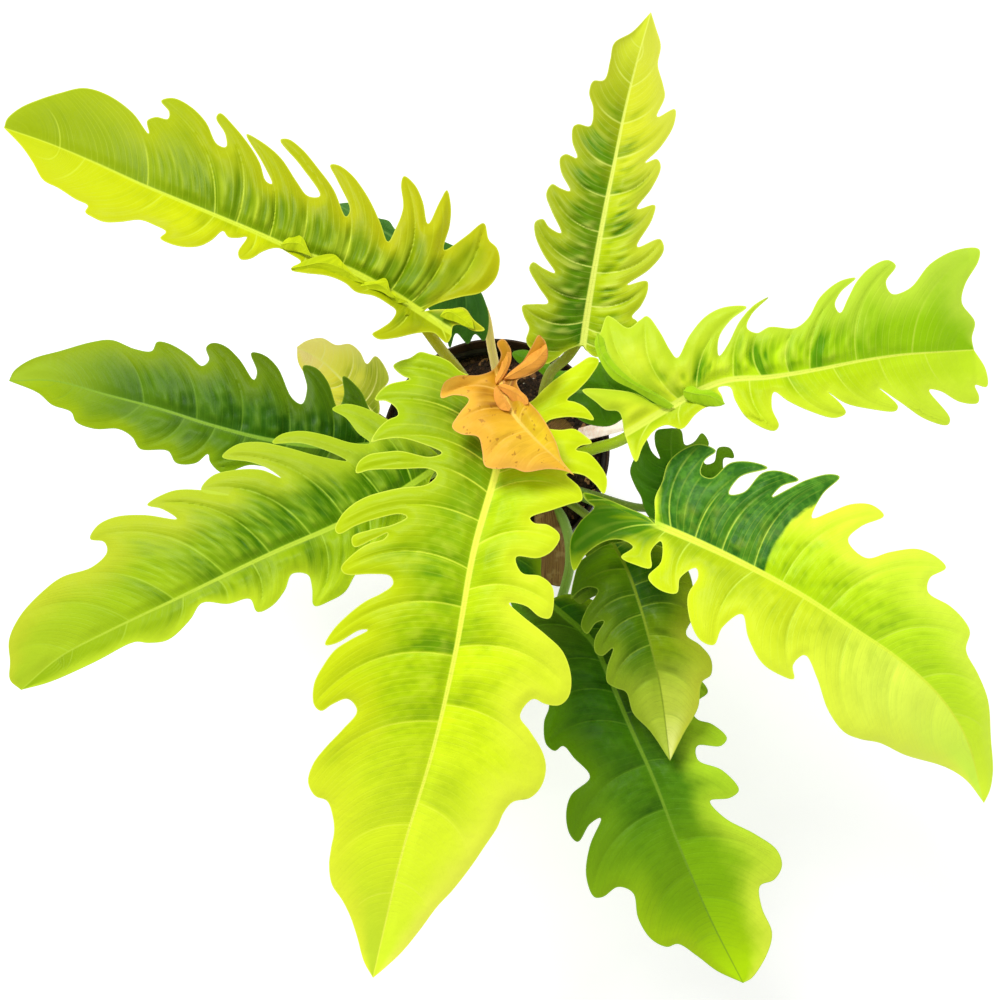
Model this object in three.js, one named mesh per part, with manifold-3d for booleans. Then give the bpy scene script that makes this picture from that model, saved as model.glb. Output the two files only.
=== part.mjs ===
import * as THREE from "three";
import { mergeVertices } from "three/addons/utils/BufferGeometryUtils.js";
import Module from "manifold-3d";

// A golden, saw-edged philodendron in its nursery pot. Millimetres, +Z up, and the front of the
// plant faces -Y. The origin is the middle of the pot's flat underside.

const wasm = await Module();
wasm.setup();

// Pot and soil
const POT_SIDES = 40;
const POT_RIM_DIAMETER = 200;
const POT_BASE_DIAMETER = 142;
const POT_HEIGHT = 172;
const POT_WALL = 2.4;
const POT_FLOOR = 3;
const RIM_BAND_HEIGHT = 22;
const RIM_BAND_DEPTH = 3.4;
const FOOT_RECESS_DEPTH = 2;
const FOOT_RING_OUTER = 66;
const FOOT_RING_INNER = 60;
const CENTRE_PAD_RADIUS = 18;
const DRAIN_HOLE_DIAMETER = 11;
const DRAIN_HOLE_COUNT = 8;
const DRAIN_HOLE_CIRCLE = 40;
const SOIL_TOP = 150;
const SOIL_CROWN = 8;

// Stem
const STEM_DIAMETER = 34;
const STEM_FOOT = new THREE.Vector3(25, -23, 118);
const STEM_SHOULDER = new THREE.Vector3(28, -26, 168);
const STEM_TOP = new THREE.Vector3(33, -30, 214);
const STEM_TOP_DIAMETER = 20;

// Leaves
const BLADE_THICKNESS = 1.7;
const MIDRIB_DEPTH = 3.2;
const EDGE_TOLERANCE = 1.5;
const INNER_SPACING = 34;
const SEAT_GAP = 0.3;
const SEAT_ON_RIB = 12;

// Facets
const STEM_SIDES = 16;
const STEM_STEPS = 8;
const PETIOLE_SIDES = 10;
const PETIOLE_STEPS = 9;
const RIB_STEPS = 48;

// The plant is drawn from the spot where a viewer stands above its front. The outlines below are
// read by eye in that view, in a square of 1000 by 1000, and each height in millimetres puts its
// point at its real place on the line of sight.
const VIEW_TILT = THREE.MathUtils.degToRad(76);
const VIEW_DISTANCE = 1500;
const VIEW_AIM = new THREE.Vector3(4, -104.5, 400);
const VIEW_MIDDLE = 500;
const VIEW_FOCUS = 2000;
const VIEW_AHEAD = new THREE.Vector3(0, Math.cos(VIEW_TILT), -Math.sin(VIEW_TILT));
const VIEW_RIGHT = new THREE.Vector3(1, 0, 0);
const VIEW_UP = new THREE.Vector3(0, Math.sin(VIEW_TILT), Math.cos(VIEW_TILT));
const EYE = VIEW_AIM.clone().addScaledVector(VIEW_AHEAD, -VIEW_DISTANCE);

// Label, with its two ends placed in the same view
const LABEL_WIDTH = 13;
const LABEL_THICKNESS = 1.2;
const LABEL_FOOT = [568, 438, 138];
const LABEL_HEAD = [646, 418, 218];

function sight(x, y, height) {
  const ray = VIEW_AHEAD.clone();
  ray.addScaledVector(VIEW_RIGHT, (x - VIEW_MIDDLE) / VIEW_FOCUS);
  ray.addScaledVector(VIEW_UP, (VIEW_MIDDLE - y) / VIEW_FOCUS);
  return EYE.clone().addScaledVector(ray, (height - EYE.z) / ray.z);
}

function millimetresPerStep(height) {
  return sight(VIEW_MIDDLE + 1, VIEW_MIDDLE, height).x - VIEW_AIM.x;
}

// One leaf a record. rib runs from the stalk to the tip as x, y and height. left and right run
// from the stalk to the tip along the two edges of the blade, as x,y pairs. rise is the slope at
// which each half leaves the midrib, near the stalk and near the tip; sag bends it down again per
// 100 mm; back is the slope of the lobes behind the stalk. leaves is the side and the height at
// which the petiole leaves the stem, in degrees from +X and in millimetres, and guides are the
// points that it passes. width is the petiole's, at its root and at its neck.
const LEAVES = [
  {
    name: "front",
    colour: 0xc4d821,
    rib: [[509, 412, 414], [497, 468, 424], [474, 550, 425], [456, 650, 410], [433, 750, 378],
      [403, 850, 334], [385, 925, 298], [373, 978, 274]],
    left: `500,404 493,393 483,384 472,377 460,371 450,362 440,357 430,354 420,352 410,358 400,361
      393,366 403,376 410,379 390,384 380,391 375,400 386,401 396,408 398,415 388,420 378,429
      371,442 380,440 400,438 420,443 442,453 430,457 400,451 385,452 368,455 358,463 356,473
      370,470 400,469 430,469 437,474 428,484 400,488 382,492 366,497 352,505 341,516 335,530
      339,534 355,526 372,520 400,514 407,517 392,525 370,530 352,537 354,547 372,540 388,533
      384,539 368,544 352,555 341,568
      345,574 372,574 390,576 393,584 382,593 366,601 350,613 333,630 325,645 337,643 360,630
      368,630 350,640 335,650 323,666 314,684 314,705 321,711 333,704 348,699 357,711 343,729
      325,748 313,764 308,782 315,796 327,801 333,818 334,832 331,848 329,866 332,885 342,900
      350,916 357,937 364,962`,
    right: `516,406 524,404 532,401 545,388 560,376 578,364 590,357 599,360 590,377 578,390
      567,400 575,402 586,408 594,420 582,418 565,417 548,421 544,427 560,430 574,429 584,435
      592,443 580,446 576,450 588,453 599,464 607,479 604,494 595,484 583,475 566,474 580,488
      582,500 570,504 552,510 530,518 534,523 548,525 560,536 552,551 538,558 516,557 522,573
      540,576 552,586 554,600 550,618 540,617 526,606 509,603 520,614 546,635 563,652 571,676
      569,696 560,705 545,704 533,699 520,716 530,731 543,753 546,769 541,787 530,798 513,802
      504,812 497,828 485,846 470,868 452,891 437,907 420,930 402,952 385,968`,
    rise: [0.2, 0.1],
    sag: [0.2, 0.28],
    back: -0.05,
    leaves: [225, 206],
    guides: [[508, 440, 345]],
    width: [11, 8],
  },
  {
    name: "upper_left",
    colour: 0xb5cc1e,
    rib: [[421, 312, 414], [390, 292, 422], [345, 268, 427], [300, 252, 429], [250, 230, 428],
      [200, 209, 424], [145, 186, 416], [95, 163, 405], [50, 144, 391], [4, 128, 374]],
    left: `432,310 450,309 464,308 474,320 485,330 474,331 462,325 453,326 451,337 447,343
      440,338 434,333 418,333 395,338 378,339 372,334 380,329 391,321
      396,311 388,304 374,296 356,292 345,283 328,276 304,273 291,270 292,267 301,262 290,254
      278,248 264,251 250,259 240,259 238,252 247,237 238,238 228,237 223,231 212,240 200,246
      184,247 168,243 160,238 166,232 154,225 140,220 120,222 104,222 92,217 85,212 88,206
      75,199 58,188 43,180 33,163 22,147`,
    right: `436,304 460,297 482,292 496,278 500,260 497,248 489,240 484,223 466,236 444,250
      450,225 451,206 447,190 439,203 428,224 423,202 415,185 404,176 401,184 403,208 395,230
      388,242 380,222 368,197 352,175 338,165 330,165 337,180 350,210 346,217 334,190 318,168
      302,149 288,139 280,140 300,165 320,196 308,196 297,182 281,158 262,142 246,134 262,162
      272,184 266,181 260,163 250,146 234,126 220,113 216,118 225,134 226,147 217,144 206,122
      190,106 173,98 161,101 169,112 168,119 156,117 147,121 149,134 133,113 108,95 84,88
      60,93 38,100 20,108 7,119`,
    rise: [0.95, 0.5],
    riseRight: [0.28, 0.16],
    sag: [0.4, 0.3],
    back: 0.1,
    leaves: [160, 206],
    guides: [[461, 374, 330], [437, 344, 384]],
    width: [10.5, 8.5],
  },
  {
    name: "back",
    colour: 0xb2c92a,
    rib: [[583, 345, 396], [587, 315, 404], [596, 260, 414], [606, 205, 418], [615, 160, 414],
      [624, 115, 404], [634, 73, 388], [651, 12, 358]],
    left: `578,346 566,351 556,359 545,364 535,354 526,341 529,328 524,317 522,306 535,304
      548,303 538,286 529,268 533,262 543,268 555,273 543,254 535,235 535,222 543,219 549,227
      561,233 551,210 546,194 552,184 560,188 570,191 561,172 560,158 566,154 577,158 572,141
      573,127 578,124 590,126 593,108 589,93 593,81 604,80 610,60 614,43 632,32`,
    right: `588,352 596,357 612,352 628,342 638,330 637,321 632,317 641,306 648,290 647,281
      627,285 650,269 664,250 660,239 637,247 652,220 655,205 637,209 652,188 661,167 657,159
      645,163 660,148 674,125 675,109 657,117 665,97 663,84 658,65 661,46 656,28`,
    rise: [0.3, 0.14],
    sag: [0.35, 0.3],
    back: 0,
    leaves: [55, 204],
    guides: [[541, 408, 306], [551, 372, 362], [568, 356, 386]],
    width: [10, 8],
  },
  {
    name: "right",
    colour: 0xb9d41f,
    rib: [[672, 406, 402], [698, 391, 408], [728, 380, 413], [770, 377, 417], [820, 369, 417],
      [860, 361, 413], [900, 355, 406], [940, 352, 396], [974, 350, 378]],
    left: `664,399 650,391 628,384 611,375 600,358 596,342 601,331 607,316 613,318 628,328
      640,320 647,316 660,332 670,350 677,358 689,336 706,316 725,307 747,307 731,320 719,338
      719,356 728,344 739,322 754,305 769,297 752,314 747,328 757,333 769,327 795,328 808,318
      820,297 840,281 856,278 841,292 835,305 840,313 848,298 857,281 872,266 888,260 896,266
      886,282 892,294 910,288 930,264 956,250 979,249 979,260 965,285 962,303 975,322 972,338`,
    right: `668,402 655,404 640,395 615,390 582,390 596,402 606,410 619,412 625,435 636,462
      643,446 655,430 667,425 682,429 696,414 707,407 723,405 722,396 718,388 730,387 735,400
      748,419 774,431 779,426 772,408 774,392 788,401 812,412 835,418 846,413 840,403 828,392
      845,403 870,409 896,411 898,406 879,388 900,402 925,419 948,425 950,418 929,390 940,391
      960,402 978,403 979,396 975,385 987,387 986,370`,
    rise: [0.5, 0.25],
    riseRight: [0.2, 0.1],
    sag: [0.5, 0.4],
    back: 0.12,
    leaves: [5, 204],
    guides: [[590, 450, 280], [625, 438, 345]],
    width: [11, 8.5],
  },
  {
    name: "lower_right",
    colour: 0xb4cf1d,
    rib: [[655, 524, 366], [693, 540, 378], [740, 562, 388], [800, 594, 392], [851, 627, 387],
      [900, 660, 374], [940, 697, 354], [966, 738, 328], [984, 803, 286]],
    left: `655,512 655,498 662,482 668,463 682,450 700,444 716,451 705,460 701,474 712,478
      730,463 752,462 768,468 740,477 729,494 744,492 762,473 780,471 799,480 782,486 772,497
      790,488 806,480 830,474 840,477 823,494 812,518 830,512 852,504 872,505 884,516 862,526
      848,540 866,558 890,552 918,549 938,558 946,568 930,578 928,592 950,606 964,620 970,632
      966,650 978,674 988,700 991,740 993,770 990,790`,
    right: `646,516 628,508 604,498 583,493 588,502 594,507 580,522 570,542 574,571 586,554
      606,541 622,540 633,547 621,557 636,565 651,568 651,551 661,541 661,562 648,577 660,590
      677,593 680,578 696,568 698,577 688,595 690,620 700,640 714,645 722,628 742,614 748,637
      762,663 780,675 794,679 793,665 805,655 817,678 828,710 844,732 860,739 880,743 905,755
      945,767 966,780`,
    rise: [0.22, 0.12],
    riseRight: [0.24, 0.12],
    sag: [0.3, 0.32],
    back: 0,
    leaves: [315, 206],
    guides: [[575, 492, 272], [622, 512, 338]],
    width: [11, 8.5],
  },
  {
    name: "low_front",
    colour: 0x4f8a12,
    rib: [[548, 602, 256], [566, 617, 262], [592, 641, 267], [607, 672, 271], [628, 722, 274],
      [654, 780, 272], [680, 848, 262], [710, 918, 242], [743, 983, 214]],
    left: `543,590 541,572 540,556 526,549 510,553 504,568 508,594 520,628 536,672 549,705
      544,722 546,744 555,751 563,746 574,758 590,777 571,795 566,815 570,835 578,842 590,824
      601,818 590,845 586,875 594,897 603,897 618,887 633,893 638,918 651,939 667,947 678,944
      697,956 717,971`,
    right: `556,597 570,594 588,598 606,608 625,628 650,655 675,675 700,680 708,692 700,699 690,706
      697,719 712,724 727,738 721,746 697,746 698,760 722,770 739,790 730,798 710,801 725,818
      755,834 777,850 782,866 774,880 760,886 762,908 772,932 768,952 752,978`,
    rise: [0.12, 0.06],
    sag: [0.2, 0.2],
    back: -0.1,
    leaves: [270, 176],
    guides: [[563, 520, 214], [570, 562, 240]],
    width: [10, 8],
  },
  {
    name: "small_front",
    colour: 0x7fa315,
    rib: [[613, 543, 318], [628, 572, 326], [640, 606, 328], [650, 642, 325], [660, 686, 316],
      [670, 761, 290]],
    left: `603,546 592,553 580,562 574,578 571,599 578,592 588,587 598,590 586,610 581,626
      587,634 596,623 604,621 595,638 595,652 602,656 613,648 607,668 607,682 616,688 626,692
      633,713 650,731`,
    right: `628,541 650,543 672,552 688,570 694,592 696,612 686,634 700,645 711,659 711,675
      702,682 698,708 684,733`,
    rise: [0.16, 0.08],
    sag: [0.35, 0.4],
    back: 0,
    leaves: [292, 188],
    guides: [[570, 503, 238], [598, 526, 290]],
    width: [8.5, 6.5],
  },
  {
    name: "lower_left",
    colour: 0x9fc016,
    rib: [[436, 468, 350], [390, 498, 362], [335, 526, 371], [279, 550, 375], [228, 574, 375],
      [174, 600, 370], [105, 633, 356], [60, 657, 342], [21, 690, 322]],
    left: `430,480 424,500 408,522 388,543 370,560 356,574 345,592 330,601 314,606 312,588
      308,575 292,574 285,590 272,606 257,612 250,599 228,604 202,603 190,620 168,640 148,643
      135,642 95,662 50,682`,
    right: `440,458 428,446 408,432 388,420 365,408 345,404 332,409 346,418 358,433 370,443
      352,443 325,435 300,431 280,435 272,443 300,443 330,452 347,461 318,456 285,447 258,442
      236,445 222,457 250,462 267,468 281,478 262,470 235,470 212,476 201,490 228,495 200,490
      172,491 147,505 162,509 177,519 145,515 115,517 97,526 90,539 104,542 107,552 92,567
      62,577 42,592 20,616 9,640 10,662 10,680`,
    rise: [0.1, 0.06],
    riseRight: [0.28, 0.14],
    sag: [0.4, 0.3],
    back: -0.1,
    leaves: [215, 190],
    guides: [[490, 462, 270], [455, 462, 328]],
    width: [10, 8],
  },
  {
    name: "left_dark",
    colour: 0x3f7a12,
    rib: [[395, 442, 306], [330, 447, 320], [270, 440, 328], [214, 426, 330], [160, 409, 327],
      [107, 395, 318], [54, 381, 306], [9, 381, 292]],
    left: `392,452 375,464 350,474 315,476 280,470 250,465 234,470 222,473 210,462 208,454
      196,463 176,463 168,451 140,449 132,437 118,429 95,429 76,422 71,412 52,405 38,393`,
    right: `392,432 380,424 370,410 360,390 343,376 344,395 338,408 328,382 316,368 303,366
      307,388 302,404 292,398 278,368 264,355 251,353 257,372 254,380 240,360 225,346 212,343
      206,348 209,360 202,366 190,356 170,344 157,342 152,351 135,349 112,340 92,342 60,351
      32,359 14,371`,
    rise: [0.06, 0.04],
    riseRight: [0.22, 0.12],
    sag: [0.3, 0.3],
    back: -0.1,
    leaves: [205, 172],
    guides: [[478, 462, 232], [430, 450, 280]],
    width: [9.5, 7.5],
  },
  {
    name: "left_old",
    colour: 0xd9cf6a,
    rib: [[378, 420, 262], [360, 399, 274], [340, 378, 282], [318, 358, 286], [297, 347, 284]],
    left: `366,424 350,421 338,414 330,400 318,386 305,374 298,362`,
    right: `380,408 379,394 389,380 382,362 375,356 367,364 360,352 350,344 336,345 322,338
      306,341`,
    rise: [0.12, 0.08],
    sag: [0.3, 0.3],
    back: 0,
    leaves: [188, 166],
    guides: [[465, 455, 205], [412, 438, 240]],
    width: [8, 6],
  },
  {
    name: "orange",
    colour: 0xe8a22b,
    rib: [[502, 386, 446], [512, 412, 452], [532, 436, 453], [552, 455, 450], [574, 475, 440]],
    left: `506,376 510,362 511,350 503,339 497,343 501,355 494,369 480,375 456,376 444,383
      441,398 454,395 469,399 459,414 452,427 461,434 478,437 482,450 485,466 498,469 512,468
      525,472 548,469 565,471`,
    right: `508,374 523,361 532,346 539,335 548,350 545,364 532,374 517,381 524,396 540,414
      556,442 562,460`,
    rise: [0.1, 0.1],
    sag: [0.5, 0.4],
    back: 0.5,
    leaves: [110, 212],
    guides: [[520, 424, 300], [508, 402, 400]],
    width: [8.5, 6.5],
  },
  {
    name: "inner_right",
    colour: 0x3a7410,
    rib: [[682, 512, 322], [676, 486, 334], [672, 462, 338], [671, 443, 337], [672, 428, 333]],
    left: `668,515 655,521 645,511 641,497 635,486 630,471 634,459 641,448 646,439 652,452
      660,459 655,444
      656,431`,
    right: `698,506 714,494 723,476 724,458 734,458 730,448 718,448 714,462 705,464 704,452
      709,444 702,433 694,442 685,445 681,430`,
    rise: [0.1, 0.06],
    sag: [0.4, 0.5],
    back: 0,
    leaves: [325, 180],
    guides: [[590, 494, 236], [645, 508, 295]],
    width: [8, 6.5],
  },
  {
    name: "inner_back",
    colour: 0x2c6a30,
    rib: [[478, 288, 320], [450, 272, 330], [410, 248, 336], [372, 224, 338], [336, 204, 336]],
    left: `483,296 489,318 484,341 475,334 468,344 456,333 450,348 444,331 425,305 400,285
      378,262 352,230 342,218`,
    right: `482,276 470,256 440,240 412,233 396,230 389,221 378,218 365,211 350,203`,
    rise: [0.1, 0.06],
    sag: [0.3, 0.3],
    back: -0.2,
    leaves: [125, 188],
    guides: [[505, 410, 250], [492, 350, 288], [484, 310, 309]],
    width: [8.5, 7],
  },
  {
    name: "inner_centre",
    colour: 0x33691a,
    rib: [[556, 390, 296], [590, 392, 306], [630, 396, 310], [668, 404, 306]],
    left: `548,380 534,368 520,364 512,353 526,350 545,360 562,371 580,366 600,362 618,376
      642,388`,
    right: `558,402 572,414 588,424 610,426 624,418 640,408`,
    rise: [0.06, 0.06],
    sag: [0.2, 0.2],
    back: -0.1,
    leaves: [40, 186],
    guides: [[548, 425, 238]],
    width: [8, 6.5],
  },
];

// Solids
function toManifold(geometry) {
  const bare = geometry.clone();
  bare.deleteAttribute("normal");
  bare.deleteAttribute("uv");
  const merged = mergeVertices(bare, 1e-5);
  const vertProperties = new Float32Array(merged.attributes.position.array);
  const triVerts = new Uint32Array(merged.index.array);
  return new wasm.Manifold(new wasm.Mesh({ numProp: 3, vertProperties, triVerts }));
}

function fromManifold(solid) {
  const { vertProperties, triVerts } = solid.getMesh();
  const geometry = new THREE.BufferGeometry();
  geometry.setAttribute("position", new THREE.BufferAttribute(new Float32Array(vertProperties), 3));
  geometry.setIndex(new THREE.BufferAttribute(new Uint32Array(triVerts), 1));
  return geometry;
}

function indexedGeometry(vertices, faces) {
  const geometry = new THREE.BufferGeometry();
  geometry.setFromPoints(vertices);
  geometry.setIndex(faces.flat());
  return geometry;
}

const group = new THREE.Group();

function addPiece(name, geometry, colour, roughness) {
  const material = new THREE.MeshStandardMaterial({ color: colour, roughness, metalness: 0 });
  const mesh = new THREE.Mesh(geometry, material);
  mesh.name = name;
  group.add(mesh);
}

// Outlines in the plane of the view
function readEdge(text) {
  return text.trim().split(/\s+/).map((pair) => {
    const [x, y] = pair.split(",").map(Number);
    return new THREE.Vector2(x, -y);
  });
}

function smoothEdge(points) {
  const stepsPerPoint = 4;
  const lifted = points.map((point) => new THREE.Vector3(point.x, point.y, 0));
  const curve = new THREE.CatmullRomCurve3(lifted, false, "centripetal");
  const fine = curve.getPoints((points.length - 1) * stepsPerPoint);
  return fine.map((point) => new THREE.Vector2(point.x, point.y));
}

function distanceToChord(point, start, end) {
  const chord = end.clone().sub(start);
  const along = point.clone().sub(start).dot(chord) / Math.max(chord.lengthSq(), 1e-9);
  const foot = start.clone().addScaledVector(chord, THREE.MathUtils.clamp(along, 0, 1));
  return point.distanceTo(foot);
}

function thinOut(points, tolerance) {
  let farthest = 0;
  let distance = 0;
  for (let i = 1; i < points.length - 1; i += 1) {
    const offset = distanceToChord(points[i], points[0], points[points.length - 1]);
    if (offset > distance) {
      distance = offset;
      farthest = i;
    }
  }
  if (distance <= tolerance) {
    return [points[0], points[points.length - 1]];
  }
  const before = thinOut(points.slice(0, farthest + 1), tolerance);
  const after = thinOut(points.slice(farthest), tolerance);
  return before.concat(after.slice(1));
}

function isInside(point, ring) {
  let inside = false;
  ring.forEach((a, i) => {
    const b = ring[(i + 1) % ring.length];
    const crosses = a.y > point.y !== b.y > point.y;
    if (crosses && point.x < ((b.x - a.x) * (point.y - a.y)) / (b.y - a.y) + a.x) {
      inside = !inside;
    }
  });
  return inside;
}

function distanceToRing(point, ring) {
  const distances = ring.map((a, i) => distanceToChord(point, a, ring[(i + 1) % ring.length]));
  return Math.min(...distances);
}

function turn(a, b, c) {
  return (b.x - a.x) * (c.y - a.y) - (b.y - a.y) * (c.x - a.x);
}

function cornerAngle(corner, a, b) {
  const toA = a.clone().sub(corner);
  const toB = b.clone().sub(corner);
  return Math.acos(THREE.MathUtils.clamp(toA.dot(toB) / (toA.length() * toB.length()), -1, 1));
}

// Swaps the diagonal of each badly shaped pair of triangles until none is left.
function flipEdges(points, faces) {
  const sweepLimit = 60;
  for (let sweep = 0; sweep < sweepLimit; sweep += 1) {
    const sides = new Map();
    const touched = new Set();
    let flips = 0;
    faces.forEach((face, f) => {
      for (let k = 0; k < 3; k += 1) {
        const from = face[k];
        const to = face[(k + 1) % 3];
        const key = Math.min(from, to) * points.length + Math.max(from, to);
        const other = sides.get(key);
        if (other === undefined) {
          sides.set(key, { f, apex: face[(k + 2) % 3] });
        } else if (!touched.has(f) && !touched.has(other.f)) {
          const apex = face[(k + 2) % 3];
          const angle = cornerAngle(points[apex], points[from], points[to])
            + cornerAngle(points[other.apex], points[from], points[to]);
          if (angle > Math.PI + 1e-6) {
            faces[f] = [apex, from, other.apex];
            faces[other.f] = [other.apex, to, apex];
            touched.add(f);
            touched.add(other.f);
            flips += 1;
            return;
          }
        }
      }
    });
    if (flips === 0) {
      return;
    }
  }
}

// Covers one half of a blade with well shaped triangles: clipped ears, inner points, then flips.
function coverHalf(ring, spacing) {
  const points = ring.slice();
  const faces = THREE.ShapeUtils.triangulateShape(ring, []).map((face) => {
    const [a, b, c] = face;
    return turn(ring[a], ring[b], ring[c]) > 0 ? [a, b, c] : [a, c, b];
  });
  const box = new THREE.Box2().setFromPoints(ring);
  const rowHeight = spacing * Math.sin(Math.PI / 3);
  let row = 0;
  for (let y = box.min.y + 0.31 * spacing; y < box.max.y; y += rowHeight) {
    for (let x = box.min.x + (row % 2) * 0.5 * spacing + 0.17; x < box.max.x; x += spacing) {
      const point = new THREE.Vector2(x, y);
      if (isInside(point, ring) && distanceToRing(point, ring) > 0.4 * spacing) {
        const home = faces.findIndex(([a, b, c]) => turn(points[a], points[b], point) > 0
          && turn(points[b], points[c], point) > 0 && turn(points[c], points[a], point) > 0);
        if (home >= 0) {
          const [a, b, c] = faces[home];
          const added = points.push(point) - 1;
          faces.splice(home, 1, [a, b, added], [b, c, added], [c, a, added]);
        }
      }
    }
    row += 1;
  }
  flipEdges(points, faces);
  return { points, faces };
}

// Blade surface. A point of the view is measured along the midrib (station) and away from it
// (reach, positive on the right), in millimetres, and gets its height from that.
function makeSurface(leaf) {
  const scale = millimetresPerStep(leaf.rib[0][2]);
  const control = leaf.rib.map(([x, y, z]) => new THREE.Vector3(x * scale, -y * scale, z));
  const curve = new THREE.CatmullRomCurve3(control, false, "centripetal");
  const nodes = curve.getPoints(RIB_STEPS);
  const stations = [0];
  for (let i = 1; i < nodes.length; i += 1) {
    const step = Math.hypot(nodes[i].x - nodes[i - 1].x, nodes[i].y - nodes[i - 1].y);
    stations.push(stations[i - 1] + step);
  }
  const length = stations[stations.length - 1];
  const blur = 9;

  function measure(x, y) {
    const px = x * scale;
    const py = y * scale;
    const hits = [];
    for (let i = 0; i + 1 < nodes.length; i += 1) {
      const a = nodes[i];
      const b = nodes[i + 1];
      const span = stations[i + 1] - stations[i];
      const ux = (b.x - a.x) / span;
      const uy = (b.y - a.y) / span;
      let along = (px - a.x) * ux + (py - a.y) * uy;
      const lowest = i === 0 ? -Infinity : 0;
      along = THREE.MathUtils.clamp(along, lowest, span);
      const gap = Math.hypot(px - a.x - along * ux, py - a.y - along * uy);
      const side = (px - a.x) * uy - (py - a.y) * ux;
      hits.push({ gap, side, station: stations[i] + along });
    }
    const nearest = Math.min(...hits.map((hit) => hit.gap));
    let weights = 0;
    let station = 0;
    let side = 0;
    hits.forEach((hit) => {
      const weight = Math.exp((nearest ** 2 - hit.gap ** 2) / (2 * blur ** 2));
      weights += weight;
      station += weight * hit.station;
      side += weight * hit.side;
    });
    return { station: station / weights, reach: Math.sign(side) * nearest };
  }

  function ribHeight(station) {
    if (station <= 0) {
      return nodes[0].z;
    }
    let i = 1;
    while (i < nodes.length - 1 && stations[i] < station) {
      i += 1;
    }
    const part = (station - stations[i - 1]) / (stations[i] - stations[i - 1]);
    return THREE.MathUtils.lerp(nodes[i - 1].z, nodes[i].z, Math.min(part, 1));
  }

  function height(x, y) {
    const { station, reach } = measure(x, y);
    const part = THREE.MathUtils.clamp(station / length, 0, 1);
    const slopes = reach > 0 && leaf.riseRight ? leaf.riseRight : leaf.rise;
    const rise = THREE.MathUtils.lerp(slopes[0], slopes[1], part);
    const sag = THREE.MathUtils.lerp(leaf.sag[0], leaf.sag[1], part) / 100;
    const width = Math.abs(reach);
    const behind = Math.max(0, -station);
    return ribHeight(station) + rise * width - sag * width ** 2 + leaf.back * behind;
  }

  return { height, measure, ribHeight, length, scale };
}

// Blade solid between an upper and a lower skin.
function makeBlade(leaf, lift, depth) {
  const surface = makeSurface(leaf);
  const ribEnds = leaf.rib.map(([x, y]) => new THREE.Vector2(x, -y));
  const rib = thinOut(smoothEdge(ribEnds), 0.4);
  const stalkEnd = rib[0];
  const tip = rib[rib.length - 1];
  const tolerance = EDGE_TOLERANCE / surface.scale;
  const edges = [leaf.left, leaf.right].map((text) => {
    const whole = [stalkEnd, ...readEdge(text), tip];
    return thinOut(smoothEdge(whole), tolerance).slice(1, -1);
  });
  const points = rib.concat(edges[0], edges[1]);
  const faces = [];
  edges.forEach((edge, half) => {
    const edgeStart = rib.length + (half === 0 ? 0 : edges[0].length);
    const ids = rib.map((_, i) => i);
    edge.forEach((_, i) => ids.push(edgeStart + edge.length - 1 - i));
    const ring = ids.map((id) => points[id]);
    const cover = coverHalf(ring, INNER_SPACING / surface.scale);
    cover.points.slice(ring.length).forEach((point) => ids.push(points.push(point) - 1));
    cover.faces.forEach((face) => faces.push(face.map((k) => ids[k])));
  });
  const upper = [];
  const lower = [];
  points.forEach((point, i) => {
    const onRib = i > 0 && i < rib.length - 1;
    const height = surface.height(point.x, point.y);
    const foot = sight(point.x, -point.y, height);
    const station = surface.measure(point.x, point.y).station;
    const keel = onRib ? MIDRIB_DEPTH * (1 - station / surface.length) : 0;
    upper.push(new THREE.Vector3(foot.x, foot.y, height + lift));
    lower.push(new THREE.Vector3(foot.x, foot.y, height - depth - keel));
  });
  const count = points.length;
  const walls = new Map();
  faces.forEach(([a, b, c]) => {
    [[a, b], [b, c], [c, a]].forEach(([from, to]) => {
      const back = `${to}_${from}`;
      if (walls.has(back)) {
        walls.delete(back);
      } else {
        walls.set(`${from}_${to}`, [from, to]);
      }
    });
  });
  const solid = faces.map((face) => face.slice());
  faces.forEach(([a, b, c]) => solid.push([a + count, c + count, b + count]));
  walls.forEach(([from, to]) => {
    solid.push([from, from + count, to + count]);
    solid.push([from, to + count, to]);
  });
  return { geometry: indexedGeometry(upper.concat(lower), solid), surface };
}

// Round stalks and stems: rings of vertices along a curve, closed by a fan at each end.
function makeStalk(path, widthAt, sides, steps) {
  const curve = new THREE.CatmullRomCurve3(path, false, "centripetal");
  const frames = curve.computeFrenetFrames(steps, false);
  const vertices = [];
  const faces = [];
  for (let i = 0; i <= steps; i += 1) {
    const part = i / steps;
    const centre = curve.getPointAt(part);
    for (let k = 0; k < sides; k += 1) {
      const angle = (2 * Math.PI * k) / sides;
      const spoke = frames.normals[i].clone().multiplyScalar(Math.cos(angle));
      spoke.addScaledVector(frames.binormals[i], Math.sin(angle));
      vertices.push(centre.clone().addScaledVector(spoke, widthAt(part) / 2));
    }
  }
  for (let i = 0; i < steps; i += 1) {
    for (let k = 0; k < sides; k += 1) {
      const next = (k + 1) % sides;
      const a = i * sides + k;
      const b = i * sides + next;
      faces.push([a, b, b + sides]);
      faces.push([a, b + sides, a + sides]);
    }
  }
  const last = steps * sides;
  for (let k = 1; k + 1 < sides; k += 1) {
    faces.push([0, k + 1, k]);
    faces.push([last, last + k, last + k + 1]);
  }
  return indexedGeometry(vertices, faces);
}

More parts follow.
